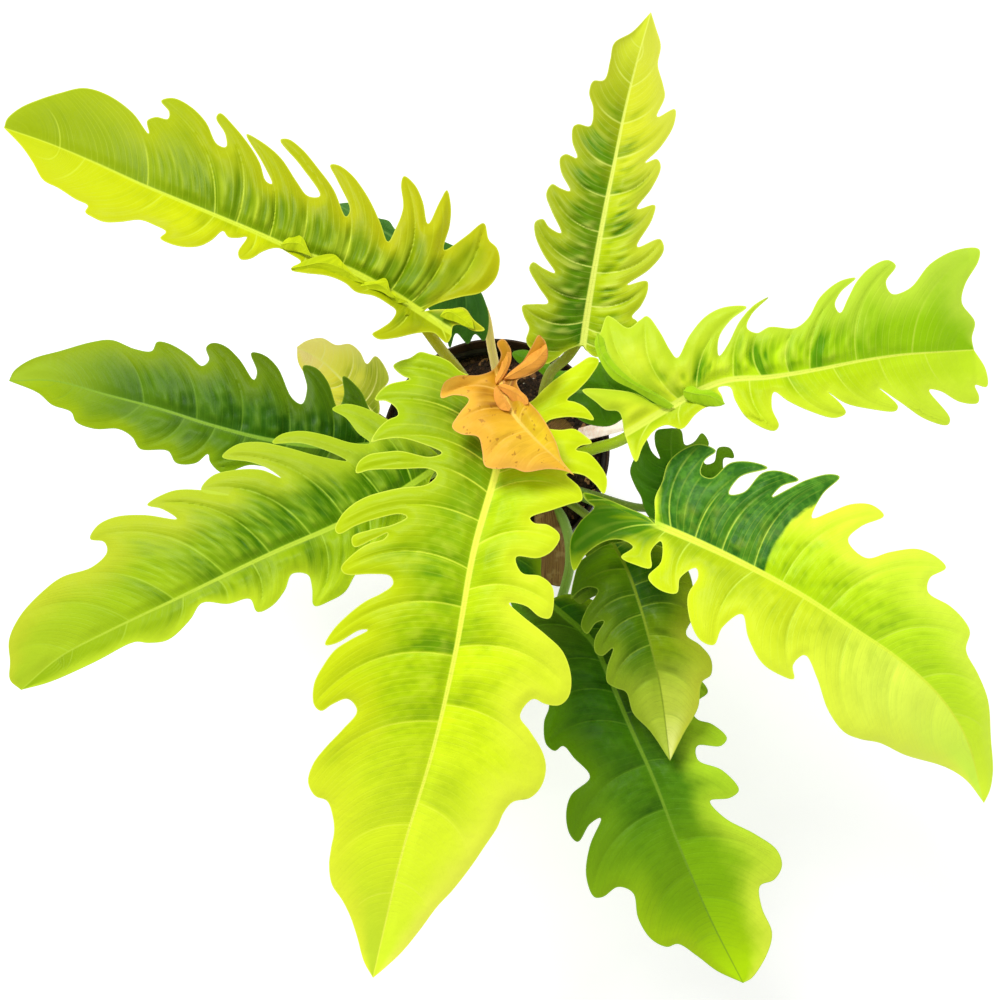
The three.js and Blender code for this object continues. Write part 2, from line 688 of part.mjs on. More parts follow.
function makeStem(margin) {
  const up = STEM_TOP.clone().sub(STEM_SHOULDER).normalize();
  const top = STEM_TOP.clone().addScaledVector(up, margin);
  const foot = STEM_FOOT.clone().addScaledVector(up, -margin);
  const taper = 2 * (STEM_DIAMETER - STEM_TOP_DIAMETER);
  const widthAt = (part) => STEM_DIAMETER - taper * Math.max(0, part - 0.5) + 2 * margin;
  return makeStalk([foot, STEM_SHOULDER, top], widthAt, STEM_SIDES, STEM_STEPS);
}

// Petiole: from inside the stem towards its own blade, with its top cut short under the blade.
function stemAxisAt(height) {
  const part = (height - STEM_SHOULDER.z) / (STEM_TOP.z - STEM_SHOULDER.z);
  return STEM_SHOULDER.clone().lerp(STEM_TOP, part);
}

function makePetiole(leaf, surface, margin) {
  const ribPoints = leaf.rib.map(([x, y]) => new THREE.Vector2(x, -y));
  const seat = smoothEdge(ribPoints).find((point) => {
    return surface.measure(point.x, point.y).station >= SEAT_ON_RIB;
  });
  const end = sight(seat.x, -seat.y, surface.height(seat.x, seat.y));
  const [azimuth, startHeight] = leaf.leaves;
  const angle = THREE.MathUtils.degToRad(azimuth);
  const outward = new THREE.Vector3(Math.cos(angle), Math.sin(angle), 0);
  const root = stemAxisAt(startHeight).addScaledVector(outward, 0.15 * STEM_DIAMETER);
  const guides = leaf.guides.map((guide) => sight(...guide));
  const [rootWidth, neckWidth] = leaf.width;
  const approach = end.clone().sub(guides[guides.length - 1]).normalize();
  end.z -= 0.5 * neckWidth * Math.hypot(approach.x, approach.y);
  const path = [root, ...guides, end];
  const widthAt = (part) => {
    return THREE.MathUtils.lerp(rootWidth, neckWidth, Math.sqrt(part)) + 2 * margin;
  };
  return toManifold(makeStalk(path, widthAt, PETIOLE_SIDES, PETIOLE_STEPS));
}

// What is in place already, with the seat gap around it: a later piece is cut back to it.
const CUTTER_HEIGHT = 30;
let taken = toManifold(makeStem(SEAT_GAP));

LEAVES.forEach((leaf) => {
  const half = BLADE_THICKNESS / 2;
  const { geometry, surface } = makeBlade(leaf, half, half);
  const roof = toManifold(makeBlade(leaf, CUTTER_HEIGHT, half + SEAT_GAP).geometry);
  const petiole = makePetiole(leaf, surface, 0).subtract(roof).subtract(taken);
  taken = taken.add(makePetiole(leaf, surface, SEAT_GAP));
  addPiece(`blade_${leaf.name}`, geometry, leaf.colour, 0.45);
  addPiece(`petiole_${leaf.name}`, fromManifold(petiole), 0x8fa32a, 0.5);
});

// Stem
addPiece("stem", makeStem(0), 0x6f7a34, 0.8);

// Dry sheaths: the papery scales that once wrapped the young leaves, still held by the stem.
const SHEATHS = [
  {
    name: "dry_sheath_front",
    rib: [[537, 470, 192], [542, 495, 206], [546, 525, 217], [549, 555, 214], [548, 584, 200]],
    left: "529,480 532,500 535,525 537,555 535,578",
    right: "548,476 554,500 558,525 560,555 558,578",
    rise: [-0.35, -0.1],
    sag: [1.5, 0.5],
    back: 0,
  },
  {
    name: "dry_sheath_back",
    rib: [[538, 462, 196], [544, 445, 226], [554, 430, 250], [565, 419, 262]],
    left: "532,456 537,440 547,425 556,418",
    right: "545,460 551,449 562,438 572,426",
    rise: [-0.35, -0.1],
    sag: [1.5, 0.5],
    back: 0,
  },
];

SHEATHS.forEach((sheath) => {
  const half = BLADE_THICKNESS / 2;
  const dry = toManifold(makeBlade(sheath, half, half).geometry).subtract(taken);
  addPiece(sheath.name, fromManifold(dry), 0x9a7048, 0.85);
});

// Pot
function turned(profile) {
  const points = profile.map(([radius, z]) => new THREE.Vector2(radius, z));
  return new THREE.LatheGeometry(points, POT_SIDES).rotateX(Math.PI / 2);
}

const FLOOR_TOP = FOOT_RECESS_DEPTH + POT_FLOOR;
const BAND_BOTTOM = POT_HEIGHT - RIM_BAND_HEIGHT;
const WALL_TOP_RADIUS = POT_RIM_DIAMETER / 2 - RIM_BAND_DEPTH;

function wallRadius(z) {
  return THREE.MathUtils.lerp(POT_BASE_DIAMETER / 2, WALL_TOP_RADIUS, z / BAND_BOTTOM);
}

function makePot() {
  const rim = POT_RIM_DIAMETER / 2;
  const step = 1.5;
  const lip = 0.8;
  const foot = 5;
  const body = toManifold(turned([
    [0, 0],
    [CENTRE_PAD_RADIUS, 0],
    [CENTRE_PAD_RADIUS + 1, FOOT_RECESS_DEPTH],
    [FOOT_RING_INNER - 1, FOOT_RECESS_DEPTH],
    [FOOT_RING_INNER, 0],
    [FOOT_RING_OUTER, 0],
    [wallRadius(foot), foot],
    [WALL_TOP_RADIUS, BAND_BOTTOM],
    [rim, BAND_BOTTOM + step],
    [rim, POT_HEIGHT - lip],
    [rim - lip, POT_HEIGHT],
    [rim - POT_WALL + lip, POT_HEIGHT],
    [rim - POT_WALL, POT_HEIGHT - lip],
    [rim - POT_WALL, BAND_BOTTOM + 2 * step],
    [wallRadius(BAND_BOTTOM + step) - POT_WALL, BAND_BOTTOM + step],
    [wallRadius(FLOOR_TOP + foot) - POT_WALL, FLOOR_TOP + foot],
    [wallRadius(FLOOR_TOP) - POT_WALL - foot / 2, FLOOR_TOP],
    [0, FLOOR_TOP],
  ]));
  const holeRadius = DRAIN_HOLE_DIAMETER / 2;
  const holeSides = 12;
  const drill = new THREE.CylinderGeometry(holeRadius, holeRadius, 4 * POT_FLOOR, holeSides);
  drill.rotateX(Math.PI / 2);
  let pot = body;
  for (let i = 0; i < DRAIN_HOLE_COUNT; i += 1) {
    const angle = (2 * Math.PI * (i + 0.5)) / DRAIN_HOLE_COUNT;
    const x = DRAIN_HOLE_CIRCLE * Math.cos(angle);
    const y = DRAIN_HOLE_CIRCLE * Math.sin(angle);
    const hole = drill.clone().translate(x, y, FLOOR_TOP / 2);
    pot = pot.subtract(toManifold(hole));
  }
  return fromManifold(pot);
}

addPiece("pot", makePot(), 0x2b2a28, 0.6);

// Label: a bare plant stick, pushed slantwise into the soil.
function makeLabel(margin) {
  const low = sight(...LABEL_FOOT);
  const high = sight(...LABEL_HEAD);
  const along = high.clone().sub(low).normalize();
  const length = low.distanceTo(high);
  const across = new THREE.Vector3(0, 0, 1).cross(along).normalize();
  const face = along.clone().cross(across);
  const grown = [length, LABEL_WIDTH, LABEL_THICKNESS].map((size) => size + 2 * margin);
  const stick = new THREE.BoxGeometry(...grown);
  stick.applyMatrix4(new THREE.Matrix4().makeBasis(along, across, face));
  stick.translate(...low.clone().lerp(high, 0.5).toArray());
  return stick;
}

addPiece("plant_label", makeLabel(0), 0xe9e4d2, 0.5);

// Soil: fills the pot, a little higher round the stem.
function makeSoil() {
  const shoulder = SOIL_TOP - 4;
  const bottom = FLOOR_TOP + SEAT_GAP;
  const inside = (z) => wallRadius(z) - POT_WALL - SEAT_GAP;
  const fill = toManifold(turned([
    [0, bottom],
    [inside(bottom) - 3, bottom],
    [inside(bottom + 6), bottom + 6],
    [inside(shoulder), shoulder],
    [inside(shoulder) - 8, SOIL_TOP],
    [inside(shoulder) / 2, SOIL_TOP + 0.7 * SOIL_CROWN],
    [0, SOIL_TOP + SOIL_CROWN],
  ]));
  return fromManifold(fill.subtract(taken).subtract(toManifold(makeLabel(SEAT_GAP))));
}

addPiece("soil", makeSoil(), 0x3b2a1e, 0.95);

export default group;
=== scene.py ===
import math

import bpy
import numpy as np
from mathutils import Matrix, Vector
from mathutils.geometry import delaunay_2d_cdt


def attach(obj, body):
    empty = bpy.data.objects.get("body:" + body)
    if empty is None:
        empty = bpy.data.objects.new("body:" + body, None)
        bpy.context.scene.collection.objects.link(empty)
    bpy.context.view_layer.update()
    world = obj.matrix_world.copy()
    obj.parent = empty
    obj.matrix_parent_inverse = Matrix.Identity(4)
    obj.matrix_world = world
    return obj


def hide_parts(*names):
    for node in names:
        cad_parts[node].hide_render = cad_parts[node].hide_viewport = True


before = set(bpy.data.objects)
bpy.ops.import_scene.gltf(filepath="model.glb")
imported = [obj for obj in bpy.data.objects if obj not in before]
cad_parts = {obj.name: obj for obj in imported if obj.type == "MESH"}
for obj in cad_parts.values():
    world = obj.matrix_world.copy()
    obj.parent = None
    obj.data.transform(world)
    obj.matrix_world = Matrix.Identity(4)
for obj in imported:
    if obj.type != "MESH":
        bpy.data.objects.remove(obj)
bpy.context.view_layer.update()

# A golden, saw-edged philodendron in its nursery pot. Sizes are in millimetres, in the frame of
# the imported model: +Z up, the front of the plant towards -Y, and the origin in the middle of the
# pot's underside.
METRES = 0.001

# View
# The viewer stands above the front of the plant and looks down on it at 76 degrees. The leaves
# are drawn in that view too: as points of a square of 1000 by 1000, and a height for each.
VIEW_TILT = math.radians(76)
VIEW_DISTANCE = 1500
VIEW_AIM = np.array([4.0, -104.5, 400.0])
VIEW_SPAN = 1000
VIEW_MIDDLE = VIEW_SPAN / 2
VIEW_FOCUS = 2000
VIEW_AHEAD = np.array([0, math.cos(VIEW_TILT), -math.sin(VIEW_TILT)])
VIEW_RIGHT = np.array([1, 0, 0])
VIEW_UP = np.array([0, math.sin(VIEW_TILT), math.cos(VIEW_TILT)])
EYE = VIEW_AIM - VIEW_DISTANCE * VIEW_AHEAD


def sight(x, y, height):
    """The points in millimetres that show at x, y of the view and lie at these heights."""
    x, y, height = (np.asarray(value, float)[..., None] for value in (x, y, height))
    ray = VIEW_AHEAD + (x - VIEW_MIDDLE) / VIEW_FOCUS * VIEW_RIGHT
    ray = ray + (VIEW_MIDDLE - y) / VIEW_FOCUS * VIEW_UP
    return EYE + ray * (height - EYE[2]) / ray[..., 2:]


lens = bpy.data.cameras.new("view")
lens.sensor_width = 36
lens.lens = lens.sensor_width * VIEW_FOCUS / VIEW_SPAN
camera = bpy.data.objects.new("view", lens)
camera.location = EYE * METRES
camera.rotation_euler = (math.pi / 2 - VIEW_TILT, 0, 0)
bpy.context.scene.collection.objects.link(camera)
bpy.context.scene.camera = camera

# Nursery pot
# A thin round pot of dark polypropylene, moulded in one piece, with a stiff band at its rim and
# eight drain holes in its floor. It stands on a foot ring and on a round pad in the middle.
POT_SIDES = 160
POT_RIM_DIAMETER = 200
POT_BASE_DIAMETER = 142
POT_HEIGHT = 172
POT_WALL = 2.4
POT_FLOOR = 3
RIM_BAND_HEIGHT = 22
RIM_BAND_DEPTH = 3.4
FOOT_RECESS_DEPTH = 2
FOOT_RING_OUTER = 66
FOOT_RING_INNER = 60
CENTRE_PAD_RADIUS = 18
DRAIN_HOLE_DIAMETER = 11
DRAIN_HOLE_COUNT = 8
DRAIN_HOLE_CIRCLE = 40
DRAIN_HOLE_SIDES = 32
CORNER_ROUNDING = 1.2
FLOOR_TOP = FOOT_RECESS_DEPTH + POT_FLOOR
BAND_BOTTOM = POT_HEIGHT - RIM_BAND_HEIGHT
WALL_TOP_RADIUS = POT_RIM_DIAMETER / 2 - RIM_BAND_DEPTH


def wall_radius(z):
    foot_radius = POT_BASE_DIAMETER / 2
    return foot_radius + (WALL_TOP_RADIUS - foot_radius) * z / BAND_BOTTOM


def round_corners(profile, reach, steps=4):
    """A profile whose corners are rounded over reach millimetres, its two ends kept."""
    corners = [np.array(point, float) for point in profile]
    rounded = [corners[0]]
    for before, corner, after in zip(corners, corners[1:], corners[2:]):
        into, out = before - corner, after - corner
        near = min(reach, 0.45 * np.linalg.norm(into), 0.45 * np.linalg.norm(out))
        start = corner + near * into / np.linalg.norm(into)
        end = corner + near * out / np.linalg.norm(out)
        for t in np.linspace(0, 1, steps + 1):
            rounded.append((1 - t) ** 2 * start + 2 * t * (1 - t) * corner + t**2 * end)
    return rounded + [corners[-1]]


def stacked_faces(rings, sides):
    """Faces over a stack of rings of vertices, which lies between a first and a last vertex."""
    last = rings * sides + 1
    faces = []
    for side in range(sides):
        here = 1 + side
        beside = 1 + (side + 1) % sides
        faces.append((0, beside, here))
        for ring in range(rings - 1):
            low = ring * sides
            high = low + sides
            faces.append((here + low, beside + low, beside + high, here + high))
        top = (rings - 1) * sides
        faces.append((here + top, beside + top, last))
    return faces


def turned(profile, sides):
    """Vertices and faces of a profile turned about Z. The profile starts and ends on the axis."""
    points = [(0, 0, profile[0][1])]
    for radius, z in profile[1:-1]:
        for side in range(sides):
            angle = 2 * math.pi * side / sides
            points.append((radius * math.cos(angle), radius * math.sin(angle), z))
    points.append((0, 0, profile[-1][1]))
    return points, stacked_faces(len(profile) - 2, sides)


def add_piece(name, points, faces, skin, sharp=35):
    """A smooth shaded object from vertices in millimetres, with edges over sharp degrees crisp."""
    mesh = bpy.data.meshes.new(name)
    mesh.from_pydata((np.asarray(points, float) * METRES).tolist(), [], faces)
    mesh.polygons.foreach_set("use_smooth", [True] * len(mesh.polygons))
    mesh.set_sharp_from_angle(angle=math.radians(sharp))
    mesh.materials.append(skin)
    piece = bpy.data.objects.new(name, mesh)
    bpy.context.scene.collection.objects.link(piece)
    return piece


def settle(piece, slot, *nodes):
    """Puts a finished piece in the frame, in place of these nodes. slot is not used."""
    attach(piece, "root")
    if nodes:
        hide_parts(*nodes)


class Value:
    """A socket of a node tree, so that what its nodes work out is written as Python."""

    def __init__(self, tree, socket=None):
        self.tree = tree
        self.socket = socket

    def node(self, kind, settings=None, inputs=None, output=0):
        """Adds a node: its settings first, then a number or a Value for each input named."""
        made = self.tree.nodes.new(kind)
        for name, setting in (settings or {}).items():
            setattr(made, name, setting)
        for name, given in (inputs or {}).items():
            if isinstance(given, Value):
                self.tree.links.new(given.socket, made.inputs[name])
            else:
                made.inputs[name].default_value = given
        return Value(self.tree, made.outputs[output] if len(made.outputs) else None)

    def maths(self, operation, first, second=0.0):
        return self.node("ShaderNodeMath", {"operation": operation}, {0: first, 1: second})

    def __add__(self, other):
        return self.maths("ADD", self, other)

    __radd__ = __add__

    def __mul__(self, other):
        return self.maths("MULTIPLY", self, other)

    __rmul__ = __mul__

    def __sub__(self, other):
        return self.maths("SUBTRACT", self, other)

    def __rsub__(self, other):
        return self.maths("SUBTRACT", other, self)

    def __truediv__(self, other):
        return self.maths("DIVIDE", self, other)

    def __pow__(self, other):
        return self.maths("POWER", self, other)

    def __abs__(self):
        return self.maths("ABSOLUTE", self)

    def least(self, other):
        return self.maths("MINIMUM", self, other)

    def most(self, other):
        return self.maths("MAXIMUM", self, other)

    def fraction(self):
        return self.maths("FRACT", self)

    def rising(self, start, end):
        """0 up to start, 1 from end on, and smooth between them."""
        settings = {"interpolation_type": "SMOOTHSTEP"}
        inputs = {"Value": self, "From Min": start, "From Max": end}
        return self.node("ShaderNodeMapRange", settings, inputs)

    def falling(self, start, end):
        return 1 - self.rising(start, end)

    def mix(self, low, high):
        """The colour low where this is 0, and high where it is 1."""
        inputs = {0: self, 6: low, 7: high}
        return self.node("ShaderNodeMix", {"data_type": "RGBA"}, inputs, 2)

    def read(self, attribute):
        """One of the piece's own numbers, kept on its mesh."""
        return self.node("ShaderNodeAttribute", {"attribute_name": attribute}, output=2)

    def place(self):
        return self.node("ShaderNodeTexCoord", output=3)

    def part(self, axis):
        """The x, y or z of this vector, asked for as 0, 1 or 2."""
        return self.node("ShaderNodeSeparateXYZ", inputs={0: self}, output=axis)

    def vector(self, x, y, z):
        return self.node("ShaderNodeCombineXYZ", inputs={0: x, 1: y, 2: z})

    def stretched(self, x, y, z):
        """This vector with each of its parts multiplied."""
        inputs = {0: self, 1: (x, y, z)}
        return self.node("ShaderNodeVectorMath", {"operation": "MULTIPLY"}, inputs)

    def cloud(self, scale, detail=3.0, roughness=0.55):
        """Noise over this vector, from about 0.25 to about 0.75."""
        inputs = {"Vector": self, "Scale": scale, "Detail": detail, "Roughness": roughness}
        return self.node("ShaderNodeTexNoise", inputs=inputs)


def paint(red, green, blue):
    """A colour given as display values from 0 to 255."""
    shares = [value / 255 for value in (red, green, blue)]
    linear = [s / 12.92 if s < 0.04045 else ((s + 0.055) / 1.055) ** 2.4 for s in shares]
    return (*linear, 1)


def new_skin(name):
    """An empty material, and the Value that its first nodes are made from."""
    skin = bpy.data.materials.new(name)
    skin.use_nodes = True
    skin.node_tree.nodes.clear()
    return skin, Value(skin.node_tree)


def finish_skin(start, colour, roughness, height, depth, **even):
    """Joins colour, roughness and a bump of depth millimetres to the shader. even holds what is
    the same all over the surface."""
    inputs = {"Height": height, "Distance": depth * METRES, "Strength": 1.0}
    normal = start.node("ShaderNodeBump", inputs=inputs)
    inputs = {"Base Color": colour, "Roughness": roughness, "Normal": normal}
    inputs.update({name.replace("_", " "): value for name, value in even.items()})
    surface = start.node("ShaderNodeBsdfPrincipled", inputs=inputs)
    start.node("ShaderNodeOutputMaterial", inputs={"Surface": surface})


def make_pot_skin():
    skin, start = new_skin("dark_polypropylene")
    place = start.place()
    flow = place.stretched(1, 1, 0.12).cloud(90, 4)
    grain = place.cloud(1400, 2)
    dust = place.cloud(22, 5, 0.65).rising(0.5, 0.72)
    splash = place.cloud(160, 3).rising(0.6, 0.68) * 0.5
    black = flow.rising(0.3, 0.7).mix(paint(24, 23, 21), paint(38, 36, 33))
    dusty = (dust * 0.3 + splash * 0.3).mix(black, paint(92, 74, 54))
    across, deep, height = (place.part(axis) for axis in range(3))
    mouth = POT_RIM_DIAMETER / 2 * METRES
    inside = (across * across + deep * deep).falling((0.984 * mouth) ** 2, (0.996 * mouth) ** 2)
    splashed = height.rising(BAND_BOTTOM * METRES, (BAND_BOTTOM + 10) * METRES)
    earthy = inside * splashed * (dust * 0.3 + flow.rising(0.2, 0.5) * 0.65)
    dusty = earthy.least(1).mix(dusty, paint(70, 48, 30))
    roughness = 0.5 + 0.25 * dust + 0.08 * grain
    finish_skin(start, dusty, roughness, flow * 0.5 + grain * 0.25, 0.25, Specular_IOR_Level=0.2)
    return skin


def make_pot():
    rim = POT_RIM_DIAMETER / 2
    step = 1.5
    lip = 0.8
    foot = 5
    bead = 0.5
    profile = round_corners([
        (0, 0),
        (CENTRE_PAD_RADIUS, 0),
        (CENTRE_PAD_RADIUS + 1, FOOT_RECESS_DEPTH),
        (FOOT_RING_INNER - 1, FOOT_RECESS_DEPTH),
        (FOOT_RING_INNER, 0),
        (FOOT_RING_OUTER, 0),
        (wall_radius(foot), foot),
        (WALL_TOP_RADIUS, BAND_BOTTOM),
        (rim - bead, BAND_BOTTOM + step),
        (rim - bead, POT_HEIGHT - 5 * lip),
        (rim, POT_HEIGHT - 4 * lip),
        (rim, POT_HEIGHT - lip),
        (rim - lip, POT_HEIGHT),
        (rim - POT_WALL + lip, POT_HEIGHT),
        (rim - POT_WALL, POT_HEIGHT - lip),
        (rim - POT_WALL, BAND_BOTTOM + 2 * step),
        (wall_radius(BAND_BOTTOM + step) - POT_WALL, BAND_BOTTOM + step),
        (wall_radius(FLOOR_TOP + foot) - POT_WALL, FLOOR_TOP + foot),
        (wall_radius(FLOOR_TOP) - POT_WALL - foot / 2, FLOOR_TOP),
        (0, FLOOR_TOP),
    ], CORNER_ROUNDING)
    points, faces = turned(profile, POT_SIDES)
    pot = add_piece("nursery_pot", points, faces, make_pot_skin())
    bore = DRAIN_HOLE_DIAMETER / 2
    drill_top = 3 * POT_FLOOR
    drill = [(0, -POT_FLOOR), (bore, -POT_FLOOR), (bore, drill_top), (0, drill_top)]
    drill_points, drill_faces = turned(drill, DRAIN_HOLE_SIDES)
    bit_points, bit_faces = [], []
    for hole in range(DRAIN_HOLE_COUNT):
        angle = 2 * math.pi * (hole + 0.5) / DRAIN_HOLE_COUNT
        centre = DRAIN_HOLE_CIRCLE * np.array([math.cos(angle), math.sin(angle), 0])
        offset = len(bit_points)
        bit_points.extend(np.array(drill_points) + centre)
        bit_faces.extend([tuple(i + offset for i in face) for face in drill_faces])
    bits = add_piece("drain_hole_bits", bit_points, bit_faces, pot.data.materials[0])
    cut = pot.modifiers.new("drain_holes", "BOOLEAN")
    cut.object = bits
    cut.solver = "EXACT"
    evaluated = pot.evaluated_get(bpy.context.evaluated_depsgraph_get())
    drilled = bpy.data.meshes.new_from_object(evaluated)
    pot.modifiers.clear()
    pot.data = drilled
    bpy.data.objects.remove(bits)
    return pot


pot = make_pot()
settle(pot, "pot", "pot")

# Potting soil
# Loose peat and coconut husk that fill the pot to 22 mm below its rim, a little higher in the
# middle. The body is one surface, and its crumbs, husk chips and pale grit are scattered on top.
SOIL_TOP = 150
SOIL_CROWN = 8
SOIL_SIDES = 180
SOIL_RINGS = 62
SOIL_ROUGHNESS = 1.6
SOIL_GAP = 0.3
# The unevenness of its top: how strong, how long and which random seed.
SOIL_WAVES = ((1, 30, 3), (0.6, 11, 4), (0.45, 4.5, 5))


def ripple(x, y, wave, seed):
    """A smooth uneven pattern between about -1 and 1, whose humps are about wave apart."""
    draw = np.random.default_rng(seed)
    total = np.zeros(np.shape(x))
    waves = 9
    for _ in range(waves):
        angle, phase = draw.uniform(0, 2 * math.pi, 2)
        pitch = 2 * math.pi / (wave * draw.uniform(0.6, 1.7))
        total += np.sin(pitch * (x * math.cos(angle) + y * math.sin(angle)) + phase)
    return total / math.sqrt(waves)


def soil_radius(z):
    return wall_radius(z) - POT_WALL - SOIL_GAP


def make_soil_skin():
    skin, start = new_skin("peat_and_husk")
    place = start.place()
    clods = place.cloud(260, 6, 0.7)
    fine = place.cloud(1500, 3)
    wet = place.cloud(28, 3)
    dark = clods.rising(0.35, 0.7).mix(paint(24, 17, 11), paint(74, 49, 30))
    colour = (wet.rising(0.35, 0.6) * 0.6).mix(dark, paint(33, 23, 14))
    speck = place.cloud(700, 2).rising(0.68, 0.72) * 0.6
    finish_skin(start, speck.mix(colour, paint(139, 109, 74)), 0.95 - 0.2 * wet,
                clods + 0.4 * fine, 2.2, Specular_IOR_Level=0.25)
    return skin


def make_soil():
    shoulder = SOIL_TOP - 4
    bottom = FLOOR_TOP + SOIL_GAP
    rise = [(0, SOIL_TOP + SOIL_CROWN), (0.5, SOIL_TOP + 0.7 * SOIL_CROWN),
            (0.91, SOIL_TOP), (1, shoulder)]
    shares, heights = zip(*rise)
    foot = 6
    profile = [(0, bottom), (soil_radius(bottom) - foot / 2, bottom),
               (soil_radius(bottom + foot), bottom + foot)]
    for share in np.linspace(1, 0, SOIL_RINGS):
        profile.append((share * soil_radius(shoulder), np.interp(share, shares, heights)))
    points, faces = turned(profile, SOIL_SIDES)
    points = np.array(points, float)
    x, y, z = points.T
    radius = np.hypot(x, y)
    loose = (z > shoulder + 0.1) & (radius < soil_radius(shoulder) - 0.5)
    uneven = sum(share * ripple(x, y, wave, seed) for share, wave, seed in SOIL_WAVES)
    points[:, 2] += np.where(loose, SOIL_ROUGHNESS * uneven, 0)
    return add_piece("potting_soil", points, faces, make_soil_skin(), 80)


soil = make_soil()
settle(soil, "soil", "soil")


def new_tree(name, inputs):
    """A geometry node tree with named inputs, and a Value for each of them."""
    tree = bpy.data.node_groups.new(name, "GeometryNodeTree")
    tree.interface.new_socket("Geometry", in_out="OUTPUT", socket_type="NodeSocketGeometry")
    tree.interface.new_socket("Geometry", in_out="INPUT", socket_type="NodeSocketGeometry")
    for label, kind in inputs.items():
        tree.interface.new_socket(label, in_out="INPUT", socket_type=f"NodeSocket{kind}")
    entry = tree.nodes.new("NodeGroupInput")
    return tree, {socket.name: Value(tree, socket) for socket in entry.outputs if socket.name}


def run_tree(name, tree, mesh, given):
    """The mesh that a tree makes of a mesh and the values given for its inputs."""
    carrier = bpy.data.objects.new(name + "_base", mesh)
    bpy.context.scene.collection.objects.link(carrier)
    modifier = carrier.modifiers.new(name, "NODES")
    modifier.node_group = tree
    for item in tree.interface.items_tree:
        if item.in_out == "INPUT" and item.name in given:
            modifier[item.identifier] = given[item.name]
    evaluated = carrier.evaluated_get(bpy.context.evaluated_depsgraph_get())
    made = bpy.data.meshes.new_from_object(evaluated)
    made.name = name
    bpy.data.objects.remove(carrier)
    piece = bpy.data.objects.new(name, made)
    bpy.context.scene.collection.objects.link(piece)
    return piece


# How far crumbs tilt, as a share of a full turn, the seed of their tones, and the dents in them:
# how many in a metre, and how deep as a share of the largest crumb.
CRUMB_TILT = 0.07
TONE_SEED = 91
DENT_SCALE = 420.0
DENT_DEPTH = 0.7


def make_scatter_tree():
    """Crumbs over a surface: each a small faceted lump of its own size, turn and tone."""
    tree, given = new_tree("scattered_crumbs", {
        "Apart": "Float", "Density": "Float", "Smallest": "Float", "Largest": "Float",
        "Length": "Float", "Thickness": "Float", "Seed": "Int", "Material": "Material",
    })
    start = Value(tree)
    ground = given["Geometry"]
    spread = start.node("GeometryNodeDistributePointsOnFaces",
                        {"distribute_method": "POISSON"},
                        {"Mesh": ground, "Distance Min": given["Apart"],
                         "Density Max": given["Density"], "Seed": given["Seed"]})
    lump = start.node("GeometryNodeMeshIcoSphere", inputs={"Radius": 0.5, "Subdivisions": 1})
    turn = start.node("FunctionNodeRandomValue", {"data_type": "FLOAT_VECTOR"},
                      {1: (math.tau, math.tau, math.tau), "Seed": given["Seed"]})
    tilt = start.node("ShaderNodeVectorMath", {"operation": "MULTIPLY"},
                      {0: turn, 1: (CRUMB_TILT, CRUMB_TILT, 1)})
    size = start.node("FunctionNodeRandomValue", {"data_type": "FLOAT"},
                      {2: given["Smallest"], 3: given["Largest"], "Seed": given["Seed"]}, 1)
    shape = start.vector(size * given["Length"], size, size * given["Thickness"])
    lumps = start.node("GeometryNodeInstanceOnPoints",
                       inputs={"Points": spread, "Instance": lump, "Rotation": tilt,
                               "Scale": shape})
    tone = start.node("FunctionNodeRandomValue", {"data_type": "FLOAT"},
                      {2: 0.0, 3: 1.0, "Seed": TONE_SEED}, 1)
    toned = start.node("GeometryNodeStoreNamedAttribute",
                       {"data_type": "FLOAT", "domain": "INSTANCE"},
                       {"Geometry": lumps, "Name": "tone", "Value": tone})
    whole = start.node("GeometryNodeRealizeInstances", inputs={"Geometry": toned})
    where = start.node("GeometryNodeInputPosition")
    bumps = start.node("ShaderNodeTexNoise",
                       inputs={"Vector": where, "Scale": DENT_SCALE}, output=1)
    pushed = start.node("ShaderNodeVectorMath", {"operation": "SUBTRACT"},
                        {0: bumps, 1: (0.5, 0.5, 0.5)})
    offset = start.node("ShaderNodeVectorMath", {"operation": "SCALE"},
                        {0: pushed, "Scale": given["Largest"] * DENT_DEPTH})
    broken = start.node("GeometryNodeSetPosition", inputs={"Geometry": whole, "Offset": offset})
    done = start.node("GeometryNodeSetMaterial",
                      inputs={"Geometry": broken, "Material": given["Material"]})
    start.node("NodeGroupOutput", inputs={0: done})
    return tree


def make_crumb_skin(name, dark, light, roughness):
    skin, start = new_skin(name)
    place = start.place()
    tone = start.read("tone")
    fibre = place.stretched(1, 1, 3).cloud(900, 4)
    share = (0.65 * tone + 0.7 * (fibre - 0.5)).most(0).least(1)
    finish_skin(start, share.mix(dark, light), roughness - 0.1 * fibre, fibre, 0.5,
                Specular_IOR_Level=0.3)
    return skin


def soil_surface():
    """The open top of the soil, on which the crumbs lie."""
    whole = soil.data
    keep = [tuple(face.vertices) for face in whole.polygons
            if face.normal.z > 0.5 and face.center.z > (SOIL_TOP - 3) * METRES]
    used = sorted({i for face in keep for i in face})
    order = {old: new for new, old in enumerate(used)}
    points = [whole.vertices[i].co[:] for i in used]
    surface = bpy.data.meshes.new("soil_surface")
    surface.from_pydata(points, [], [tuple(order[i] for i in face) for face in keep])
    return surface


